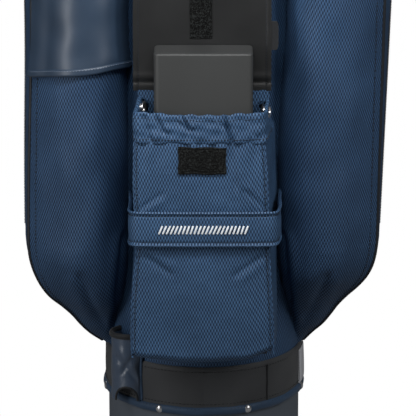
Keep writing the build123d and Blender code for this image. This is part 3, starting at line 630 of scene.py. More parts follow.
def make_collar():
    """The collar: the same tube a little further out, its top edge turned in by a quarter of a circle, with an
    upright seam, and stitches near its top and its bottom."""
    def collar(u, v):
        level = between(rim_high[2] - 1, collar_high[2] + 1, v)
        turned_in = 2.2 * (1 - np.sqrt(1 - np.clip(v * 9 - 8, 0, 0.98) ** 2))
        return *around(u * TAU, COLLAR + 0.4 - turned_in), level

    cloth_piece("collar_cover", collar, (181, 26), "collar_nylon", thick=2.2, closed=True,
                replaced=("base_collar",), relief=lambda u, v: 0.35 * wobble(u * 700, v * 40, 5, 40))
    x, y = around(radians(39), COLLAR + 1.0)
    levels = np.linspace(rim_high[2] + 1, collar_high[2] - 4, 30)
    tube("collar_seam", stack(x, y, levels), 0.9, "binding_black", up=(0, 1, 0.01))
    for level, reach in ((collar_high[2] - 4.5, 92), (rim_high[2] + 3.2, BODY_A + COLLAR + 1)):
        path, out = ring_path(level, COLLAR + 0.5, 200)
        for part, name in ((path[:, 1] < 0, "front"), (path[:, 1] > 0, "back")):
            part = part & (np.abs(path[:, 0]) < reach)
            order = np.argsort(path[part][:, 0])
            stitches(f"collar_stitches_{name}_{round(level)}", path[part][order], out[part][order],
                     "binding_black", 4.2, 2.8, 0.55)


def make_rim():
    """The bound rim: a flattened round section carried round the ellipse, its radius puckered by two sine
    waves of the angle. Its rivet heads are turned domes at even angles."""
    angle = np.linspace(0, TAU, 200, endpoint=False)
    x, y = around(angle, (rim_high[0] - BODY_A) / 2 + 0.3)
    middle = (rim_low[2] + rim_high[2]) / 2
    puckers = 1 + 0.018 * np.sin(angle * 91) + 0.02 * np.sin(angle * 37 + 1)
    tube("rim_bound_edge", stack(x, y, middle + 0.25 * np.sin(angle * 13)), 3.0 * puckers, "binding_fabric",
         replaced=("rim_binding",), sides=18, closed=True, flat=(rim_high[2] - rim_low[2]) / 6.0)
    path, out = ring_path(middle + 2.9, rim_high[0] - BODY_A - 0.5, 220)
    stitches("rim_stitches", path, out, "dark_thread", 4.0, 2.4, 0.35)
    spots = pi / RIVETS * (2 * np.arange(RIVETS) + 1)
    x, y = around(spots, rim_high[0] - BODY_A - 0.9)
    ways = stack(np.sin(spots) / BODY_A, -np.cos(spots) / BODY_B, 0.0)
    turned("rivet_heads", RIVET_DOME, stack(x, y, middle), ways, "steel", replaced=("rim_rivets",))


def make_dividers():
    """Well dividers: each a hanging cloth that sways by about two millimetres between its held edges, sin(pi u)
    times sin(pi v) times a slow wave, under a bar wrapped in soft cloth, a flattened round section."""
    bottom = box("well_dividers")[0][2]
    bars_low, bars_high = box("divider_bars")
    row, past_wall, bar_half = 58.0, 130, 4.5
    lines = [((-1, y), (1, y)) for y in (-row, 0.0, row)]
    spans = ((-past_wall, -row, (-26, 26)), (-row, 0, (-50, 0, 50)), (0, row, (-50, 0, 50)),
             (row, past_wall, (-26, 26)))
    lines += [((x, near + bar_half), (x, far - bar_half)) for near, far, places in spans for x in places]
    for number, ((x0, y0), (x1, y1)) in enumerate(lines):
        for reach_x, reach_y, kind in ((93, 103, "sheet"), (104, 114, "bar")):
            if y0 == y1:
                half = reach_x * np.sqrt(1 - (y0 / reach_y) ** 2)
                start, end = (-half, y0), (half, y0)
            else:
                deep = reach_y * np.sqrt(1 - (x0 / reach_x) ** 2)
                start, end = (x0, max(y0, -deep)), (x1, min(y1, deep))
            if kind == "sheet":
                across = (end[1] - start[1], start[0] - end[0])
                span = np.hypot(*across)

                def hanging(u, v, start=start, end=end, across=across, span=span, number=number):
                    level = between(bottom, bars_low[2] + 3, v)
                    sway = 1.5 * np.sin(pi * v) * np.sin(pi * u) * wobble(u * 60, level, 60 + number, 260)
                    return (between(start[0], end[0], u) + across[0] / span * sway,
                            between(start[1], end[1], u) + across[1] / span * sway, level)
                sheet = cloth_piece(f"well_sheet_{number}", hanging, (12, 60), "black_nylon", thick=1.4,
                                    centred=True, inside=(500, 500),
                                    replaced=("well_dividers",) if number == 0 else ())
                cut_size(sheet)
            else:
                along = np.linspace(0, 1, 40)[:, None]
                path = np.array([[*start, 0]]) * (1 - along) + np.array([[*end, 0]]) * along
                path[:, 2] = (bars_low[2] + bars_high[2]) / 2
                tube(f"wrapped_bar_{number}", path, 3.5 * (1 + 0.012 * np.sin(along[:, 0] * 70)), "black_nylon",
                     replaced=("divider_bars",) if number == 0 else (), sides=14, flat=16 / 7)


# ------------------------------------------------------------------ side pockets
POCKET_LOW, POCKET_FULL_AT, POCKET_TOP = 112.0, 240.0, 772.0
# Fullness of the left (-1) and right (1) pocket at even steps of height from its low end to where it is full.
FULLNESS = {-1: (0.02, 0.19, 0.32, 0.43, 0.565, 0.715, 0.82, 0.895, 0.95, 0.985, 1.0),
            1: (0.0, 0.13, 0.275, 0.385, 0.485, 0.61, 0.75, 0.865, 0.94, 0.98, 1.0)}
POCKET_CREASES = (((84, 250), (96, 150), 3.4, 2.8), ((92, 165), (103, 122), 3.0, 1.6),
                  ((130, 210), (108, 140), 5.0, 2.5))
TOOTH_PITCH = 1.7                        # along the zips
TOOTH = np.array([2.6, 1.2, -0.4])       # a tooth's reach from the middle of its zip; its tip is past it


def fullness(side, level):
    """How full a side pocket is at a height: 0 at the seams at both ends, 1 between. Its lower corner follows a
    smooth curve through even steps of height."""
    low = np.clip((level - POCKET_LOW) / (POCKET_FULL_AT - POCKET_LOW), 0, 1)
    top = np.clip((POCKET_TOP - level) / 82, 0, 1)
    steps = np.array(FULLNESS[side])[:, None]
    return np.clip(through(steps, low)[..., 0], 0, 1) * (1 - (1 - top) ** 4) ** 0.4


def pocket_reach(side, level):
    """Half width of the bag over a side pocket: the left one draws in at a hump, the right one widens upwards
    at a steady rate."""
    if side < 0:
        return 193 - 3.5 * hump(level, 480, 130)
    return 189.8 + 0.0345 * np.maximum(level - POCKET_FULL_AT, 0)


def pocket_points(side, level, grow=0.0):
    """Control points of the front, gusset and rear curves of a side pocket's section at a height. Each point
    goes from its place on the body to its place on the full pocket with the fullness."""
    full = fullness(side, level)
    reach = pocket_reach(side, level) + grow
    if side < 0:
        seam = 187 - 7.5 * hump(level, 505, 170) + grow
        valley = 80 + 0 * level
    else:
        seam = 184.4 + 0.017 * (level - POCKET_FULL_AT) + grow
        valley = 78 + 10 * smooth((level - 330) / 180)
    bow = (8 * reach - seam - (reach - 7)) / 6
    wanted = {"front": ((valley, -74), (valley + 6, -112), (124, -152 - grow), (seam, -80)),
              "gusset": ((seam, -80), (bow, -45), (bow, 5), (reach - 7, 38)),
              "rear": ((reach - 7, 38), (165 + grow, 64), (120, 68), (88, 60))}
    resting = {"front": ((102, -28), (104, -23), (107, -16), (109, -9)),
               "gusset": ((109, -9), (109.6, -5), (109.6, -1), (109.4, 3)),
               "rear": ((109.4, 3), (108.6, 11), (106, 21), (101, 30))}
    return {part: [tuple(between(low[k], high[k], full) for k in (0, 1))
                   for low, high in zip(resting[part], wanted[part])] for part in wanted}


def pocket_line(side, part, t, level, grow=0.0):
    """Point of a side pocket at a place along one of its three curves and at a height."""
    x, y = cubic(pocket_points(side, level, grow)[part], t)
    return side * x, y, level


def pocket_levels(v):
    """Heights from the bottom seam to the top one, closer together near both."""
    return POCKET_LOW + (POCKET_TOP - POCKET_LOW) * (v + (1 - np.cos(pi * v)) / 2) / 2


def fold(x, level, start, end, width, depth, fade=12.0):
    """A crease along a straight line of the cloth between two (x, height) points: a narrow dip with a softer
    ridge on its right, both fading past the line's ends."""
    (x0, z0), (x1, z1) = start, end
    run = np.hypot(x1 - x0, z1 - z0)
    along = ((x - x0) * (x1 - x0) + (level - z0) * (z1 - z0)) / run
    off = ((x - x0) * (z1 - z0) - (level - z0) * (x1 - x0)) / run * np.sign(z1 - z0 + 1e-9)
    fade_in = smooth((along + fade) / fade) * smooth((run + fade - along) / fade)
    return depth * fade_in * (0.65 * hump(off, 2.1 * width, 1.5 * width) - hump(off, 0, width))


def creased(x, level, creases):
    """Sum of folds, each given by its start, end, width and depth, and its fade where that isn't the usual."""
    return sum(fold(x, level, *crease) for crease in creases)


def make_pocket(side, name):
    """A side pocket: front, gusset and rear are cubic curves in plan that shrink to the body at both ends, with
    soft folds in the cloth. Piped seams run between them."""
    def shape(part):
        return lambda u, v: pocket_line(side, part, u, pocket_levels(v))

    def front_relief(u, v):
        """Soft waves, gathers towards the foot, and folds, fading at both seams."""
        x, _, level = pocket_line(side, "front", u, pocket_levels(v))
        x = np.abs(x)
        soft = 1.5 * wobble(x, level * 0.35, 11 + side, 46) + 0.8 * wobble(x, level, 17 + side, 60)
        low = smooth((300 - level) / 120)
        gather = 0.45 * low * np.sin(x / 5.2 + 3 * np.sin(level / 60)) * smooth((x - 84) / 12)
        folds = creased(x, level, POCKET_CREASES)
        return (soft + gather + folds) * np.minimum(1, 6 * u * (1 - u) + 0.1) * fullness(side, level)

    def slack(depth, width, squeeze, seed, scale):
        """Soft waves of a panel's cloth, none at its seams."""
        def relief(u, v):
            level = pocket_levels(v)
            waves = depth * wobble(u * width, level * squeeze, seed + side, scale)
            return waves * 4 * u * (1 - u) * fullness(side, level)
        return relief
    # The pockets' cloth is the darkened navy dobby: painted shade.
    cloth_piece(f"{name}_pocket_front", shape("front"), (100, 260), "pocket_dobby", relief=front_relief,
                replaced=(f"{name}_pocket",))
    cloth_piece(f"{name}_pocket_gusset", shape("gusset"), (40, 200), "pocket_dobby",
                relief=slack(0.9, 120, 0.5, 23, 70))
    cloth_piece(f"{name}_pocket_rear", shape("rear"), (50, 160), "pocket_dobby",
                relief=slack(1.8, 130, 0.4, 29, 80))
    v = np.linspace(0.004, 0.996, 190)
    for part, seam in (("front", "front"), ("gusset", "rear")):
        path = stack(*pocket_line(side, part, 1.0 + 0 * v, pocket_levels(v)))
        tube(f"{name}_{seam}_piping", path, 1.9, "black_piping", up=(0, 1, 0.01),
             replaced=(f"{name}_pocket_piping",) if seam == "front" else ())
        edge = 0.955 if part == "front" else 0.93
        line = stack(*pocket_line(side, part, edge + 0 * v, pocket_levels(v)))
        out = (side * 0.7, -0.7 if part == "front" else 0.2, 0)
        stitches(f"{name}_{seam}_seam_stitches", line[8:-8], out, pitch=4.0, length=2.6, lift=0.9)
    zip_strip(name, side)


def zip_teeth(name, start, end, place, out, radius):
    """Two rows of locked teeth at even steps from start to end, the second row half a step on. place turns a
    distance along the zip and one off its middle into a point."""
    steps = np.arange(start + 1, end - 1, TOOTH_PITCH)
    for row, lean in enumerate((-1, 1)):
        along = (steps + TOOTH_PITCH / 2 * row)[:, None]
        rods(f"{name}_teeth_{row}", stack(*place(along, lean * TOOTH[None, :])), out, radius, "black_plastic")


def zip_strip(name, side):
    """A closed zip up the gusset: a flat tape that follows the cloth, and its teeth."""
    low, high = box(f"{name}_pocket_zip")
    middle = -30

    def tape(u, v):
        level = between(low[2], high[2], v)
        return side * (pocket_reach(side, level) + 0.3 - 0.5 * (2 * u - 1) ** 2), middle + 15 * (u - 0.5), level

    def tooth(along, off):
        return side * (pocket_reach(side, along) + 0.7), middle + off, along
    cloth_piece(f"{name}_zip_tape", tape, (9, 120), "zip_tape", thick=0.9, inside=(0, middle),
                replaced=(f"{name}_pocket_zip",))
    zip_teeth(f"{name}_zip", low[2], high[2], tooth, (side, 0, 0), 0.62)


def make_cover_panel():
    """The coated panel on the front of the left pocket: it follows the pocket's front curve a few millimetres
    out, bends in soft upright folds, and stands off the cloth at its hemmed lower edge."""
    top, bottom = cover_high[2], 434.0
    hem_height, stitch_height = 7.5, 5.2

    def edge_height(u):
        """Height of the lower edge: lower at the left, with a slight bow and wave."""
        return bottom - 10 * (1 - u) ** 2.5 + 3 * np.sin(pi * u) + 0.7 * np.sin(u * 11)

    def on_pocket(u, level):
        return pocket_line(-1, "front", 0.985 - 0.97 * u, level, 1.5)

    def panel(u, v):
        return on_pocket(u, edge_height(u) + (top - bottom) * v)

    def lift(u, v):
        """Four upright ridges and valleys, strongest at the lower edge, which stands off."""
        x = -np.abs(panel(u, v)[0])
        level = between(bottom, top, v)
        folds = (0.6 * hump(x, -172 + 4 * v, 6) - 0.8 * hump(x, -161 + 5 * v, 6) + 1.0 * hump(x, -143, 14)
                 - 0.6 * hump(x, -118, 14))
        stand = 3.2 * hump(v, 0, 0.10) + 1.7
        return stand + folds * (0.55 + 0.45 * np.cos(pi * v)) + 0.6 * wobble(x, level, 41, 50)
    sheet = cloth_piece("cover_panel", panel, (120, 120), "coated_fabric", relief=lift, thick=1.3,
                        replaced=("left_cover_panel",))
    cut_size(sheet)

    def hem(u, v):
        return on_pocket(u, edge_height(u) - 0.6 + hem_height * v)

    def hem_lift(u, v):
        return lift(u, v * hem_height / (top - bottom)) + 1.3 * (1 - (2 * v - 1) ** 6)
    cloth_piece("cover_hem", hem, (120, 12), "coated_fabric", relief=hem_lift, thick=2.4)
    u = np.linspace(0.02, 0.98, 160)
    line = on_pocket(u, edge_height(u) + stitch_height)
    out = square_to(*line)
    out = out * np.sign(-out[:, 1:2] + 1e-9)
    path = stack(*line) + out * (lift(u, stitch_height / (top - bottom)) + 1.2)[:, None]
    stitches("cover_stitches", path, out, "light_thread", 3.2, 2.2, 0.32)


# ------------------------------------------------------------------ pouch
# Half widths of the pouch, as (height, half width): of its front, and of its gussets at the body.
LEFT_FRONT = ((140, 75), (160, 75.2), (205, 74.3), (240, 71), (262, 69), (285, 70.5), (330, 72), (370, 71.2),
              (405, 69.3))
RIGHT_FRONT = ((140, 73.5), (175, 73), (225, 70), (262, 68), (300, 67.2), (340, 65.6), (370, 63), (405, 60))
LEFT_BACK = ((145, 78.5), (260, 74), (372, 71), (405, 58))
RIGHT_BACK = ((145, 79), (250, 78.2), (300, 79), (370, 76), (405, 67))
POUCH_CORNER = 7.0                       # rounding of its front corners
POUCH_MIDDLE = (0, -120)                 # an upright line inside it
POUCH_CREASES = (((27, 372), (33, 330), 2.6, 1.7), ((-15, 372), (-12, 350), 2.2, 1.2),
                 ((-70, 262), (-38, 238), 3.5, 1.5), ((66, 258), (36, 236), 3.5, 1.4),
                 ((-72, 300), (-46, 318), 3.0, 1.2), ((67, 302), (44, 322), 3.0, 1.2))
# Deep and slanting right of the middle, smaller left of it, and a few at the sides. Each ends with its fade.
HEM_CREASES = (((20, 405), (29, 374), 2.3, 5.0, 6), ((14, 401), (19, 392), 2.2, 1.6, 5),
               ((-23, 402), (-14.5, 389), 1.8, 3.0, 5), ((-26, 396), (-16, 387), 2.0, 1.4, 5),
               ((-50, 404), (-41, 386), 2.2, 2.4, 6), ((-60, 400), (-55, 378), 2.6, 2.2, 6),
               ((46, 402), (50, 384), 2.4, 1.8, 6))
HEM_BEND = 1.62                          # how far round the pouch's wall the hem goes each way
EYELET_HOLE = 4.9
EYELET_RING = [(4.2, -4.8), (4.0, -2.2), (4.1, 0.3), (4.7, 1.2), (5.7, 1.7), (6.9, 1.5), (7.8, 0.6),
               (8.0, -0.3), (7.2, -0.6), (5.4, -0.2), (5.2, -2.0), (5.2, -4.2), (7.0, -4.2), (7.9, -4.7),
               (7.6, -5.5), (6.4, -6.0), (5.2, -5.8)]


def reading(outline, level):
    """Value at a height of an outline given as (height, value) points, straight between them."""
    return np.interp(level, *zip(*outline))


def half_arch(x, reach):
    """Cosine arch: 1 in the middle and 0 at the reach and past it."""
    return np.cos(np.clip(x / reach, -1, 1) * pi / 2)


def mouth(x, y):
    """Height of the pouch's upper edge: it sags and puckers along the front and peaks over the eyelets."""
    puckers = 0.9 * np.sin(x / 5.1 + 1.0) * np.sin(x / 17.0) + 0.5 * np.sin(x / 2.6)
    return 405.4 - 3.0 * half_arch(x, 66) ** 1.3 + puckers + 10.0 * hump(y, -147, 15)


def pouch_front_depth(x, level):
    """How far forward the pouch's front stands: a soft bulge over the box, the product of a cosine across and a
    sine upwards, less far at its mouth and its foot, and pinched a little under the band."""
    middle = 2.6 * half_arch(x, 76) * np.clip(np.sin((level - 145) / 245 * pi), 0, 1) ** 0.7
    hang = 3.2 * smooth((level - 330) / 75) + 5.0 * (1 - smooth((level - 146) / 70))
    return -179.5 - middle + hang + 1.2 * hump(level, 281, 22)


def pouch_wall(s, level):
    """Point of the pouch's wall: s from -1 to 1 across the front, whose corners are rounded by a parabola, and
    on to -2 and 2 back along both gussets, which lean in towards the rear of the mouth."""
    left, right = -reading(LEFT_FRONT, level), reading(RIGHT_FRONT, level)
    back = np.where(s < 0, -reading(LEFT_BACK, level), reading(RIGHT_BACK, level))
    inside = np.clip(s, -1, 1)
    x = left + (right - left) * (inside + 1) / 2
    y = pouch_front_depth(x, level) + POUCH_CORNER * np.maximum(0, np.abs(inside) - 0.9) ** 2 * 50
    away = np.maximum(np.abs(s) - 1, 0)
    gusset_x = x + (back - x) * away ** 0.8
    drawn = np.clip(away / 0.62, 0, 1)
    mouth_x = np.where(s < 0, left + 13.5 * smooth(drawn), right + 7 * np.sin(pi * drawn) - 4.5 * smooth(drawn))
    gusset_x = gusset_x + (mouth_x - gusset_x) * smooth((level - 372) / 30)
    return np.where(away > 0, gusset_x, x), between(y, -84, away)


def pouch_relief(x, level):
    """Folds, gathers under the hem and unevenness of the pouch's front cloth."""
    soft = 0.6 * wobble(x, level * 0.6, 51, 75) + 0.2 * wobble(x, level, 53, 24)
    gathers = 1.1 * hump(level, 366, 16) * np.sin(x / 2.9 + 1.5 * np.sin(x / 11))
    return soft + gathers + creased(x, level, POUCH_CREASES)


def hem_relief(x, level):
    """Creases of the hem, and crumples."""
    crumples = 0.8 * wobble(x, level * 2, 57, 22) + 0.7 * wobble(x * 2.2, level, 59, 30)
    return creased(x, level, HEM_CREASES) + crumples


def bottom_sag(x, v):
    """How far the cloth hangs below the pouch's floor, fading out over the lowest quarter of v."""
    sag = -2 - 6.5 * half_arch(x, 76) ** 0.8 + 7 * smooth((x - 42) / 30)
    return sag * np.clip(1 - v / 0.25, 0, 1)


def make_pouch():
    """The pouch's walls: a front with rounded corners and a gusset each side that hollows a little, both
    following pouch_wall, with a rolled seam and stitches at each corner."""
    bottom, seam = pouch_low[2], hem_low[2] + 2

    def front(u, v):
        level = between(bottom, seam + 6, v)
        x, y = pouch_wall(2 * u - 1, level)
        under = np.clip(1 - (level - bottom) / 8, 0, 1)
        return x, y + 7.0 * under**2.2, level + bottom_sag(x, v)

    def front_lift(u, v):
        x, _, level = front(u, v)
        return pouch_relief(x, level) * smooth(9 * (0.5 - np.abs(u - 0.5)) + 0.15)
    cloth_piece("pouch_front_cloth", front, (150, 210), "navy_dobby", thick=2.0, inside=POUCH_MIDDLE,
                relief=front_lift, replaced=("pouch_front",))
    for side, name in SIDES:
        def gusset(u, v, side=side):
            level = between(bottom, seam + 6, v)
            x, y = pouch_wall(side * (1 + u), level)
            hollow = 2.0 * np.sin(pi * u) * smooth((level - 160) / 90)
            return x - side * hollow, y, level + bottom_sag(side * 72, v) * (1 - smooth(u * 2))

        def gusset_lift(u, v, side=side):
            return wobble(u * 90, v * 200, 61 + side, 50) * smooth(6 * u * (1 - u))
        cloth_piece(f"pouch_{name}_gusset_cloth", gusset, (46, 150), "navy_dobby", thick=1.8,
                    inside=POUCH_MIDDLE, relief=gusset_lift, replaced=(f"pouch_{name}_gusset",))
        level = np.linspace(bottom + 1, seam + 1, 120)
        x, y = pouch_wall(side * 1.0, level)
        tube(f"pouch_{name}_seam", stack(x - side * 0.3, y - 0.2, level), 1.15, "navy_dobby", up=(0, 1, 0.01))
        x, y = pouch_wall(side * 0.955 + 0 * level, level)
        stitches(f"pouch_{name}_seam_stitches", stack(x, y - 1.0, level), (0, -1, 0), pitch=3.4, length=2.3,
                 lift=0.3)


def make_pouch_hem():
    """The hem: a folded band that follows the pouch's walls, thicker than they are, from its stitched lower
    edge up to the mouth, with an eyelet set in each side. A ring of pulled cloth runs round each eyelet."""
    def hem(u, v):
        x, y = pouch_wall((2 * u - 1) * HEM_BEND, 373 + 20 * v)
        return x, y, between(hem_low[2] + 0.5, mouth(x, y), v)

    def hem_lift(u, v):
        """Rolled at both edges, with creases on the front and a ring round each eyelet at the sides."""
        x, y, level = hem(u, v)
        rolled = 1.9 - 1.6 * np.clip(v * 14 - 13, 0, 1) ** 2 - 1.0 * np.clip(1 - v * 9, 0, 1) ** 2
        front_only = smooth((-160 - y) / 12)
        puckers = 0.35 * np.sin(x / 1.35) * hump(level, 377, 5)
        return rolled + (hem_relief(x, level) + puckers) * front_only + (1 - front_only) * side_folds(y, level)

    def side_folds(y, level):
        round_eyelet = np.hypot(y + 150, level - 401)
        return 1.1 * hump(round_eyelet, 15, 4) - 1.2 * hump(round_eyelet, 7, 4) + 0.6 * wobble(y, level, 67, 20)
    eyelets = [np.array([*pouch_wall(side * 1.25, 402.0), level]) for side, level in ((-1, 404.5), (1, 401.5))]
    cloth_piece("pouch_hem_cloth", hem, (260, 40), "navy_dobby", thick=3.2, inside=POUCH_MIDDLE,
                relief=hem_lift, replaced=("pouch_hem",), crease=60,
                holes=[(place, EYELET_HOLE) for place in eyelets])
    u = np.linspace(0.04, 0.96, 300)
    for v_line, name, radius in ((0.13, "lower", 0.45), (0.80, "upper", 0.3)):
        line = hem(u, v_line + 0 * u)
        out = square_to(*line)
        path = stack(*line) + out * (hem_lift(u, v_line + 0 * u) + 0.1)[:, None]
        stitches(f"hem_stitches_{name}", path, out, "dark_thread", 3.2, 2.3, radius)
    eyelet_places = [place + [side * 1.6, 0, 0] for (side, _), place in zip(SIDES, eyelets)]
    eyelet_ways = [(-1, 0.26, 0.05), (1, -0.22, 0.12)]
    turned("pouch_eyelet_rings", EYELET_RING, eyelet_places, eyelet_ways, "steel",
           replaced=("pouch_eyelets",), sides=28, hollow=True)


def make_pouch_lining():
    """The pouch's back and floor: two flat cloths with waves of less than a millimetre, sine times sine."""
    bottom, floor_top = pouch_low[2], box("pouch_floor")[1][2]

    def back(u, v):
        level = between(bottom, 416.5, v)
        return (2 * u - 1) * 68.2, FLAP_PLANE - 0.7 + 0.7 * np.sin(u * 9) * np.sin(v * 6), level
    sheet = cloth_piece("pouch_back_lining", back, (30, 60), "navy_dobby", thick=1.6, replaced=("pouch_back",))
    cut_size(sheet)

    def floor(u, v):
        return (2 * u - 1) * (66 + 3 * v), -168.5 + 49.5 * v, floor_top + 0.4 * np.sin(u * 8) * np.sin(v * 5)
    cloth_piece("pouch_floor_lining", floor, (24, 16), "black_nylon", thick=2.0, inside=(0, -1000),
                replaced=("pouch_floor",))


def make_hook_patch():
    """The hook tape patch under the hem: a crowned rectangle with slightly uneven edges, sewn round."""
    low, high = box("hook_patch")
    width, height = 49, 28

    def patch(u, v):
        x = between(low[0], high[0], u) + 0.35 * np.sin(v * 9) * (2 * u - 1)
        level = between(low[2], high[2], v) + 0.4 * np.sin(u * 11 + 1) * (2 * v - 1) - 0.6 * u
        return x, pouch_front_depth(x, level) - 1.1, level

    def crown(u, v):
        """Rises within 2 mm of the edge, with the stitched line as a small dip inside it."""
        edge = from_edge(u, v, width, height)
        uneven = 0.35 * wobble(u * width, v * height, 71, 5)
        return 1.6 * smooth(edge / 1.6 + 0.25) - 0.7 * hump(edge, 2.6, 0.7) + uneven
    cloth_piece("hook_patch_tape", patch, (90, 56), "hook_tape", thick=2.0, relief=crown,
                replaced=("hook_patch",))


# Line of the band in plan: from the body forward, round the pouch's left corner, across and back on the right.
BAND_LINE = ((-78.5, -84.0), (-77.2, -112.0), (-77.0, -140.0), (-77.4, -166.0), (-73.2, -182.5),
             (-60.0, -186.6), (-30.0, -187.4), (0.0, -187.6), (30.0, -187.4), (60.0, -186.6),
             (74.5, -182.5), (79.0, -166.0), (80.2, -140.0), (80.8, -112.0), (81.0, -84.0))


def make_band():
    """The band across the pouch: one strip of cloth with rolled edges, carried along its line in plan and a
    little higher at its right, with stitches inside both edges and a row of slanting marks in its middle."""
    low, high = box("strap_band")

    def strip(u, v):
        place = through(BAND_LINE, u)
        rise = 0.8 + 3.0 * smooth((u - 0.18) / 0.12)
        return place[..., 0], place[..., 1], between(low[2], high[2], v) + rise

    def lift(u, v):
        """A bead along each edge, the stitched line inside it, and a soft crown."""
        edge = np.minimum(v, 1 - v)
        rolled = 1.3 * hump(edge, 0.045, 0.03) - 0.7 * hump(edge, 0.13, 0.03)
        return rolled + 0.35 * wobble(u * 330, v * 37, 73, 40) + 0.7 * np.sin(pi * v) ** 2
    cloth_piece("band_cloth", strip, (260, 48), "navy_dobby", thick=2.4, inside=(0, -110), relief=lift,
                replaced=("strap_band",))
    u = np.linspace(0.2, 0.8, 260)
    for v_line in (0.13, 0.87):
        line = strip(u, v_line + 0 * u)
        out = square_to(*line)
        stitches(f"band_stitches_{round(v_line * 100)}", stack(*line) - out * 0.4, out, "dark_thread", 3.2, 2.3,
                 0.4)
    middle = np.linspace(-44, 44, 23)
    lean = np.array([-1.9, -1.6, 1.6, 1.9])
    tall = np.array([-4.4, -4.0, 4.0, 4.4])
    x = middle[:, None] + lean[None, :] * (1 + 0.15 * np.sin(middle * 1.7))[:, None]
    rods("band_marks", stack(x, -188.9, 284.6 + tall[None, :]), (0, -1, 0), 1.0, "white_mark", flat=0.35)


# ------------------------------------------------------------------ flap behind the box
FOLD_LOW, FOLD_HIGH = 469.8, 527.6       # the two fold lines
FLAP_SPLIT = (FOLD_LOW + FOLD_HIGH) / 2
FLAP_PLANE = -118.3                      # how far forward the flap and the pouch's back stand
FOLD_REACH = 7                           # how far each fold's bend spreads up and down
BEHIND_FLAP = (0, 500)                   # an upright line behind it


def flap_edge(side, level):
    """Half width of the flap at a height: almost straight, drawn in towards a rounded end."""
    half = np.where(side < 0, 73.0, 70.4) - 2.0 * smooth((level - 490) / 70)
    turn = np.clip((level - (flap_high[2] - 12)) / 12, 0, 0.999)
    return half - 12 * (1 - np.sqrt(1 - turn**2))


def flap_point(u, level):
    """Point of the flap's middle: it waves by half a millimetre and has a crease low down, two humps."""
    x = between(-flap_edge(-1, level), flap_edge(1, level), u)
    y = FLAP_PLANE - 0.8 * hump(level, 431, 4) + 1.2 * hump(level, 425, 3.0) + 0.5 * wobble(x, level, 81, 70)
    return x, y, level


def make_flap():
    """The flap: one curved sheet in two pieces, split between the two folds, with a stitched border
    of its own thickness and a fuzzy strip up its middle. A side tab is sewn to its edge."""
    spans = (("lower", flap_low[2], FLAP_SPLIT, "bag", "flap_panel", FOLD_LOW),
             ("upper", FLAP_SPLIT, flap_high[2], "flap_panel", "flap_lip", FOLD_HIGH))
    for name, start, end, near, far, fold_at in spans:
        def cloth(u, v, start=start, end=end):
            return flap_point(u, between(start, end, v))

        def bordered(u, v, start=start, end=end):
            """Height of the border, 4 to 5 mm wide, from the distance to the nearest edge."""
            x, _, level = flap_point(u, between(start, end, v))
            inset = np.minimum(flap_edge(-1, level) + x, flap_edge(1, level) - x)
            return 0.75 * (1 - smooth((np.minimum(inset, flap_high[2] - level) - 4.2) / 0.9))
        made = [cloth_piece(f"flap_{name}", cloth, (110, 90), "flap_nylon", None, thick=1.5, inside=BEHIND_FLAP,
                            relief=bordered, centred=True,
                            replaced=("flap_foot", "flap_panel") if name == "lower" else ("flap_lip",))]
        v = np.linspace(0, 1, 90)
        for side, edge in SIDES:
            x, y, z = flap_point((side + 1) / 2 + 0 * v, between(start, end, v))
            path = stack(x - side * 5.4, y - 0.75, z)[z < flap_high[2] - 8]
            made.append(stitches(f"flap_{name}_stitches_{edge}", path, (0, -1, 0), "dark_thread", 3.0, 2.1, 0.4,
                                 None, 0.25))
        cut_size(made[0])
        bend = [(0, FLAP_PLANE * MM, (fold_at + reach) * MM) for reach in (-FOLD_REACH, FOLD_REACH)]
        for piece in made:
            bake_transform(piece)
    for name, body in (("panel_loop_strip", "flap_panel"), ("lip_loop_strip", "flap_lip")):
        low, high = box(name)

        def strip(u, v, low=low, high=high):
            level = between(low[2], high[2], v)
            x = between(low[0], high[0], u) + 0.25 * np.sin(v * 8)
            return x, FLAP_PLANE - 2.1 + 0.5 * wobble(x, level, 81, 70), level
        cloth_piece(name, strip, (40, 70), "hook_tape", body, thick=1.3, inside=BEHIND_FLAP, replaced=(name,),
                    relief=lambda u, v: 0.35 * smooth(np.minimum(u, 1 - u) * 12) - 0.35)
    low, high = box("flap_side_tab")

    def tab(u, v):
        round_end = 1 - 0.25 * (2 * v - 1) ** 8
        x = low[0] - 3 + (high[0] - low[0] + 3.6) * u * round_end
        return x, (low[1] + high[1]) / 2 - 0.8 + 0.5 * np.sin(3 * v), between(low[2], high[2], v)
    cloth_piece("side_tab", tab, (14, 36), "binding_black", "flap_panel", thick=1.6, inside=BEHIND_FLAP,
                replaced=("flap_side_tab",))


# ------------------------------------------------------------------ sleeve and patch at the base
SLEEVE_ANGLE = radians(-48)              # from the front towards +X
SLEEVE_RADIUS = 19.2
SLEEVE_TURN = radians(196)               # how much of a circle its cloth goes round


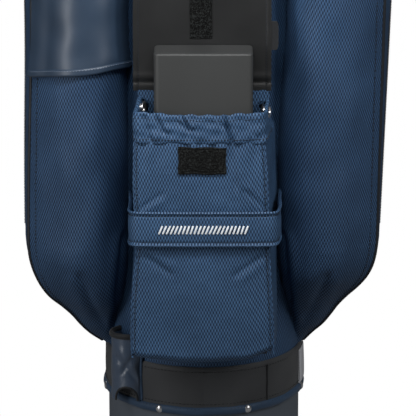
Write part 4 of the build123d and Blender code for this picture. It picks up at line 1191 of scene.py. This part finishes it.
def make_sleeve():
    """The umbrella sleeve: a tube of coated cloth held to the collar, with an arch cut in its front foot and a
    bound mouth. Its radius breathes a little with the height."""
    angle = SLEEVE_ANGLE
    centre = np.array([(BODY_A + COLLAR) * sin(angle), -(BODY_B + COLLAR) * cos(angle)])
    outwards = unit(np.array([sin(angle) / BODY_A, -cos(angle) / BODY_B]))
    across = np.array([-outwards[1], outwards[0]])
    bottom, top = sleeve_low[2], sleeve_high[2]

    def on_circle(turn, radius):
        """Points in plan at angles round the sleeve's own axis, from its outermost line."""
        turn = np.asarray(turn)[..., None]
        return centre + radius * (np.cos(turn) * outwards + np.sin(turn) * across)

    def arch_height(turn):
        """Height of the arch cut in the foot: half an ellipse of the angle."""
        return 15 * np.sqrt(np.clip(1 - ((turn - 0.72) / 0.66) ** 2, 0, 1))

    def wall(u, v):
        turn = (u - 0.5) * SLEEVE_TURN
        foot = arch_height(turn)
        level = bottom + 0.3 + foot + (top + 1 - bottom - foot) * v
        radius = SLEEVE_RADIUS + 0.7 * wobble(turn * 20, level, 91, 40)
        place = on_circle(turn, radius[..., None])
        return place[..., 0], place[..., 1], level

    def sleeve_folds(u, v):
        x, level = (u - 0.5) * 65, between(bottom, top, v)
        creases = (((3, bottom + 44), (18, bottom + 22), 4.0, 1.6),
                   ((24, bottom + 50), (12, bottom + 26), 3.0, 1.2))
        return (creased(x, level, creases) + 0.4 * wobble(x, level, 93, 30)) * smooth(8 * v * (1 - v) + 0.1)
    cloth_piece("sleeve_cloth", wall, (140, 50), "sleeve_coating", thick=1.4, inside=tuple(centre),
                replaced=("left_umbrella_sleeve",), relief=sleeve_folds)
    turn = np.linspace(-radians(97), radians(97), 70)
    rim = np.column_stack([on_circle(turn, SLEEVE_RADIUS + 0.1), top + 0.6 + 0.5 * np.sin(turn * 2 + 0.4)])
    tube("sleeve_mouth_binding", rim, 2.1, "binding_black", replaced=("left_sleeve_binding",), sides=12,
         flat=1.5)
    turn = np.linspace(0.06, 1.38, 50)
    arch = np.column_stack([on_circle(turn, SLEEVE_RADIUS + 0.2), bottom + 0.9 + arch_height(turn)])
    tube("sleeve_arch_binding", arch, 1.2, "binding_black")
    level = np.linspace(bottom + 1, top - 1, 40)
    for side, name in ((-1, "outer"), (1, "inner")):
        x, y = on_circle(side * radians(93), SLEEVE_RADIUS + 0.6)
        tube(f"sleeve_edge_binding_{name}", stack(x + 0.4 * np.sin(level / 9), y, level), 1.7,
             "binding_fabric", up=(0, 1, 0.01))


def make_collar_patch():
    """The flat coated patch at the right of the collar: it goes round the ellipse between two angles, crowned
    near its sewn edges. Its light grey colour is a painted reflection of the white surroundings."""
    patch_low, patch_high = box("right_collar_patch")

    def patch(u, v):
        turn = radians(73) + radians(39) * u
        x, y = around(turn, COLLAR + 2.2 + 0.5 * np.sin(v * 3 + 1))
        return x, y, patch_low[2] + 0.4 + (patch_high[2] - patch_low[2] - 0.4) * v
    cloth_piece("collar_patch", patch, (50, 30), "patch_coating", thick=2.0, replaced=("right_collar_patch",),
                relief=lambda u, v: 0.9 * smooth(from_edge(u, v, 70, 40) / 3) - 0.5)


# ------------------------------------------------------------------ valuables pocket
def make_valuables():
    """The small zipped pocket high on the front: a crowned front that rounds into its sides, and a zip near its
    top with a cloth tape and two rows of locked teeth."""
    low, high = box("valuables_pocket")
    half_width = 62

    def face(u, v):
        """A crowned face that goes back to the body by a quarter of a circle near every edge."""
        s = 2 * u - 1
        edge = np.clip((np.abs(s) - 0.86) / 0.14, 0, 1)
        end = np.clip((np.abs(2 * v - 1) - 0.9) / 0.1, 0, 1)
        body = -BODY_B * np.sqrt(1 - (s * half_width / BODY_A) ** 2)
        crown = low[1] + 1.2 - 1.6 * (1 - s**2) * np.sin(pi * v)
        rounding = 1 - np.sqrt(1 - np.maximum(edge, end) ** 2)
        return s * half_width, between(crown, body + 1, rounding), between(low[2], high[2], v)
    cloth_piece("valuables_cloth", face, (110, 110), "navy_dobby", thick=1.6,
                relief=lambda u, v: 0.5 * wobble(u * 120, v * 160, 101, 60), replaced=("valuables_pocket",))
    zip_low, zip_high = box("valuables_zip")
    middle = (zip_low[2] + zip_high[2]) / 2

    def tape(u, v):
        y = zip_high[1] - 0.9 + 0.4 * (2 * v - 1) ** 2
        return between(zip_low[0], zip_high[0], u), y, middle + 13 * (v - 0.5)

    def tooth(along, off):
        return along, zip_high[1] - 1.5, middle + off
    cloth_piece("valuables_tape", tape, (60, 9), "zip_tape", thick=1.2, replaced=("valuables_zip",))
    zip_teeth("valuables", zip_low[0], zip_high[0], tooth, (0, -1, 0), 0.6)
    v = np.linspace(0.05, 0.95, 100)
    for side, name in SIDES:
        x, y, z = face(0.5 + side * 0.41 + 0 * v, v)
        stitches(f"valuables_side_stitches_{name}", stack(x, y - 0.4, z), (0, -1, 0), pitch=3.6)


# ------------------------------------------------------------------ back pad and strap
def pillow(name, centre_line, half_width, swell, size, material, body, replaced, channels, seam=1.6, hug=0.0):
    """A closed pad: a strip along a centre line of (y, height) in the middle plane, its two skins bowed apart
    by swell times a rounded profile, with sewn channels across it at some places along v. With hug at 1 its
    inner skin reaches down to the round body on both sides."""
    def gap(u):
        """How far the ellipse of the body falls away from a plane that touches it."""
        return hug * BODY_B * (1 - np.sqrt(1 - ((2 * u - 1) * half_width / BODY_A) ** 2))

    def middle(u, v):
        line = through(centre_line, v)
        return (2 * u - 1) * half_width, line[..., 0] - gap(u) / 2, line[..., 1]

    def depth(u, v):
        """Thickness: rounded off to all edges, and pinched by a hump at each channel and at the side seams."""
        length = np.linalg.norm(np.diff(centre_line, axis=0), axis=1).sum()
        side = np.clip(1 - (2 * u - 1) ** 4, 0, 1) ** 0.5
        end = np.clip(np.minimum(v, 1 - v) * length / 14, 0, 1)
        round_end = np.sqrt(1 - (1 - end) ** 2)
        pinch = sum(0.62 * hump((v - c) * length, 0, 3.2) for c in channels)
        pinch = pinch + 0.5 * hump(np.abs(2 * u - 1) * half_width, half_width - 8, 1.6)
        return seam + gap(u) + swell * side * round_end * np.clip(1 - pinch, 0.1, 1)
    return cloth_piece(name, middle, size, material, body, replaced, depth, centred=True)


STUFFING = {"quality": 5, "mass": 0.3, "tension_stiffness": 20, "compression_stiffness": 15,
            "bending_stiffness": 2, "use_pressure": True, "uniform_pressure_force": 4}
STUFFING_STEPS = 20


def plump(piece, cap):
    """Lets a pad swell like stuffed cloth: it is inflated as cloth under its own pressure for some steps, and
    no point may move further than the cap, in millimetres, from where it began."""
    start = np.zeros(len(piece.data.vertices) * 3)
    piece.data.vertices.foreach_get("co", start)
    cloth = piece.modifiers.new("stuffing", "CLOTH")
    for setting, value in STUFFING.items():
        setattr(cloth.settings, setting, value)
    cloth.settings.effector_weights.gravity = 0
    cloth.collision_settings.use_collision = False
    cloth.point_cache.frame_start, cloth.point_cache.frame_end = 1, STUFFING_STEPS
    for number in range(1, STUFFING_STEPS + 1):
        bpy.context.scene.frame_set(number)
    moved = np.zeros_like(start)
    bpy.context.view_layer.update()
    result = piece.evaluated_get(bpy.context.evaluated_depsgraph_get()).to_mesh()
    result.vertices.foreach_get("co", moved)
    piece.modifiers.remove(cloth)
    bpy.context.scene.frame_set(1)
    step = (moved - start).reshape(-1, 3)
    reach = np.linalg.norm(step, axis=1, keepdims=True)
    step = step * np.minimum(1, cap * MM / np.maximum(reach, 1e-9))
    piece.data.vertices.foreach_set("co", (start.reshape(-1, 3) + step).ravel())
    piece.data.update()


# The strap's line as (y, height), from the upper hook to the lower one.
STRAP_LINE = np.array([(154, 772), (158, 745), (176, 690), (186, 620), (188, 551), (186, 482), (176, 412),
                       (158, 357), (154, 330)], float)


def make_back_pad():
    """The quilted back pad: a pillow on an upright line that hugs the body."""
    wall = stack(118.7, np.linspace(pad_low[2] + 2, pad_high[2] - 2, 12))
    quilt = np.linspace(0.12, 0.88, 8)
    pad = pillow("back_cushion", wall, 49, 4.5, (70, 260), "pad_mesh", "bag", ("back_pad",), quilt, hug=1.0)
    plump(pad, 2.0)


def make_strap():
    """The shoulder strap: webbing that follows its line from hook to hook, with a stitched edge near its top
    and a padded sleeve over its middle."""
    def ribbon(u, v):
        line = through(STRAP_LINE, v)
        return (2 * u - 1) * 19, line[..., 0] + 0.5 * (2 * u - 1) ** 2, line[..., 1]
    cloth_piece("strap_ribbon", ribbon, (14, 200), "webbing", "shoulder_strap", ("strap_webbing",), 2.2,
                centred=True)
    line = through(STRAP_LINE, np.linspace(0.01, 0.99, 260)[:40])
    for side, name in SIDES:
        path = stack(side * 16.5, line[:, 0] + 1.5, line[:, 1])
        stitches(f"strap_stitches_{name}", path, (0, 1, 0), "light_thread", 3.4, 2.2, 0.35, "shoulder_strap")
    sleeve = pillow("strap_cushion", STRAP_LINE[2:7] + [6.4, 0], 31, 8.5, (60, 160), "pad_mesh",
                    "shoulder_strap", ("strap_pad",), (0.2, 0.4, 0.6, 0.8))
    plump(sleeve, 2.5)


HARD_PIECES = {
    "cup_plastic": ["base_cup"],
    "rubber": ["base_feet"],
    "black_plastic": ["stay_rods", "top_cuff", "front_handle", "rear_handle", "strap_lugs", "strap_hooks"],
    "box_plastic": ["storage_box", "storage_box_lid"],
    "webbing": ["towel_tab"],
    "steel": ["hood_studs", "towel_ring"] + [f"{pocket}_zip_{part}" for pocket in ("left", "right", "valuables")
                                             for part in ("slider", "pull")],
}


def make_cad_finish():
    """Gives the hard pieces that stay as they were made their finishes, and the box a soft bevel."""
    for material, nodes in HARD_PIECES.items():
        for node in nodes:
            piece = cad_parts[node]
            piece.data.materials.clear()
            piece.data.materials.append(MATERIALS[material])
    for node in HARD_PIECES["box_plastic"]:
        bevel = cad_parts[node].modifiers.new("edges", "BEVEL")
        bevel.width = 0.6 * MM
        bevel.segments = 2


# ------------------------------------------------------------------ stage
def shown_to_camera(tree, lit, seen, output):
    """Lets the camera see one shader, and everything else another."""
    ray = tree.nodes.new("ShaderNodeLightPath")
    mix = tree.nodes.new("ShaderNodeMixShader")
    tree.links.new(ray.outputs["Is Camera Ray"], mix.inputs[0])
    tree.links.new(lit.outputs[0], mix.inputs[1])
    tree.links.new(seen.outputs[0], mix.inputs[2])
    tree.links.new(mix.outputs[0], tree.nodes[output].inputs["Surface"])


def paper(name, bounce):
    """White paper that looks evenly bright to the camera and gives off only a little light."""
    material = bpy.data.materials.new(name)
    material.use_nodes = True
    tree = material.node_tree
    surface = tree.nodes["Principled BSDF"]
    surface.inputs["Base Color"].default_value = (bounce, bounce, bounce, 1)
    surface.inputs["Roughness"].default_value = 0.9
    glow = tree.nodes.new("ShaderNodeEmission")
    shown_to_camera(tree, surface, glow, "Material Output")
    return material


def make_world(strength):
    """A room that lights the bag a little from everywhere, and looks white to the camera."""
    world = bpy.data.worlds.new("room")
    bpy.context.scene.world = world
    world.use_nodes = True
    tree = world.node_tree
    ground = tree.nodes["Background"]
    bright = tree.nodes.new("ShaderNodeBackground")
    for background, power in ((ground, strength), (bright, 1.0)):
        background.inputs["Color"].default_value = (1, 1, 1, 1)
        background.inputs["Strength"].default_value = power
    shown_to_camera(tree, ground, bright, "World Output")


def make_stage():
    """A wide white floor, a pale room, and soft boxes: above the front, at both sides and behind."""
    bpy.ops.mesh.primitive_plane_add(size=60, location=(0, 0, -0.5 * MM))
    floor = bpy.context.object
    floor.name = "floor"
    floor.data.materials.append(paper("floor_paper", 0.2))
    make_world(0.05)
    make_light("left_box", (-1.25, -1.15, 0.95), (0, -0.1, 0.75), (0.4, 1.8), 15)
    make_light("right_box", (1.25, -1.15, 1.3), (0, -0.1, 0.6), (0.4, 1.0), 14)
    make_light("top_box", (0.0, -0.52, 0.90), (0, -0.18, 0.42), (0.4, 0.12), 3.6)
    make_light("rear_box", (0.0, 2.0, 1.6), (0, 0, 0.5), (1.2, 1.2), 16)
    bpy.context.scene.view_settings.view_transform = "Standard"


make_camera()
make_stage()
make_body()
make_collar()
make_rim()
make_dividers()
for side, name in SIDES:
    make_pocket(side, name)
make_cover_panel()
make_pouch()
make_pouch_hem()
make_pouch_lining()
make_hook_patch()
make_band()
make_flap()
make_sleeve()
make_collar_patch()
make_valuables()
make_back_pad()
make_strap()
make_cad_finish()
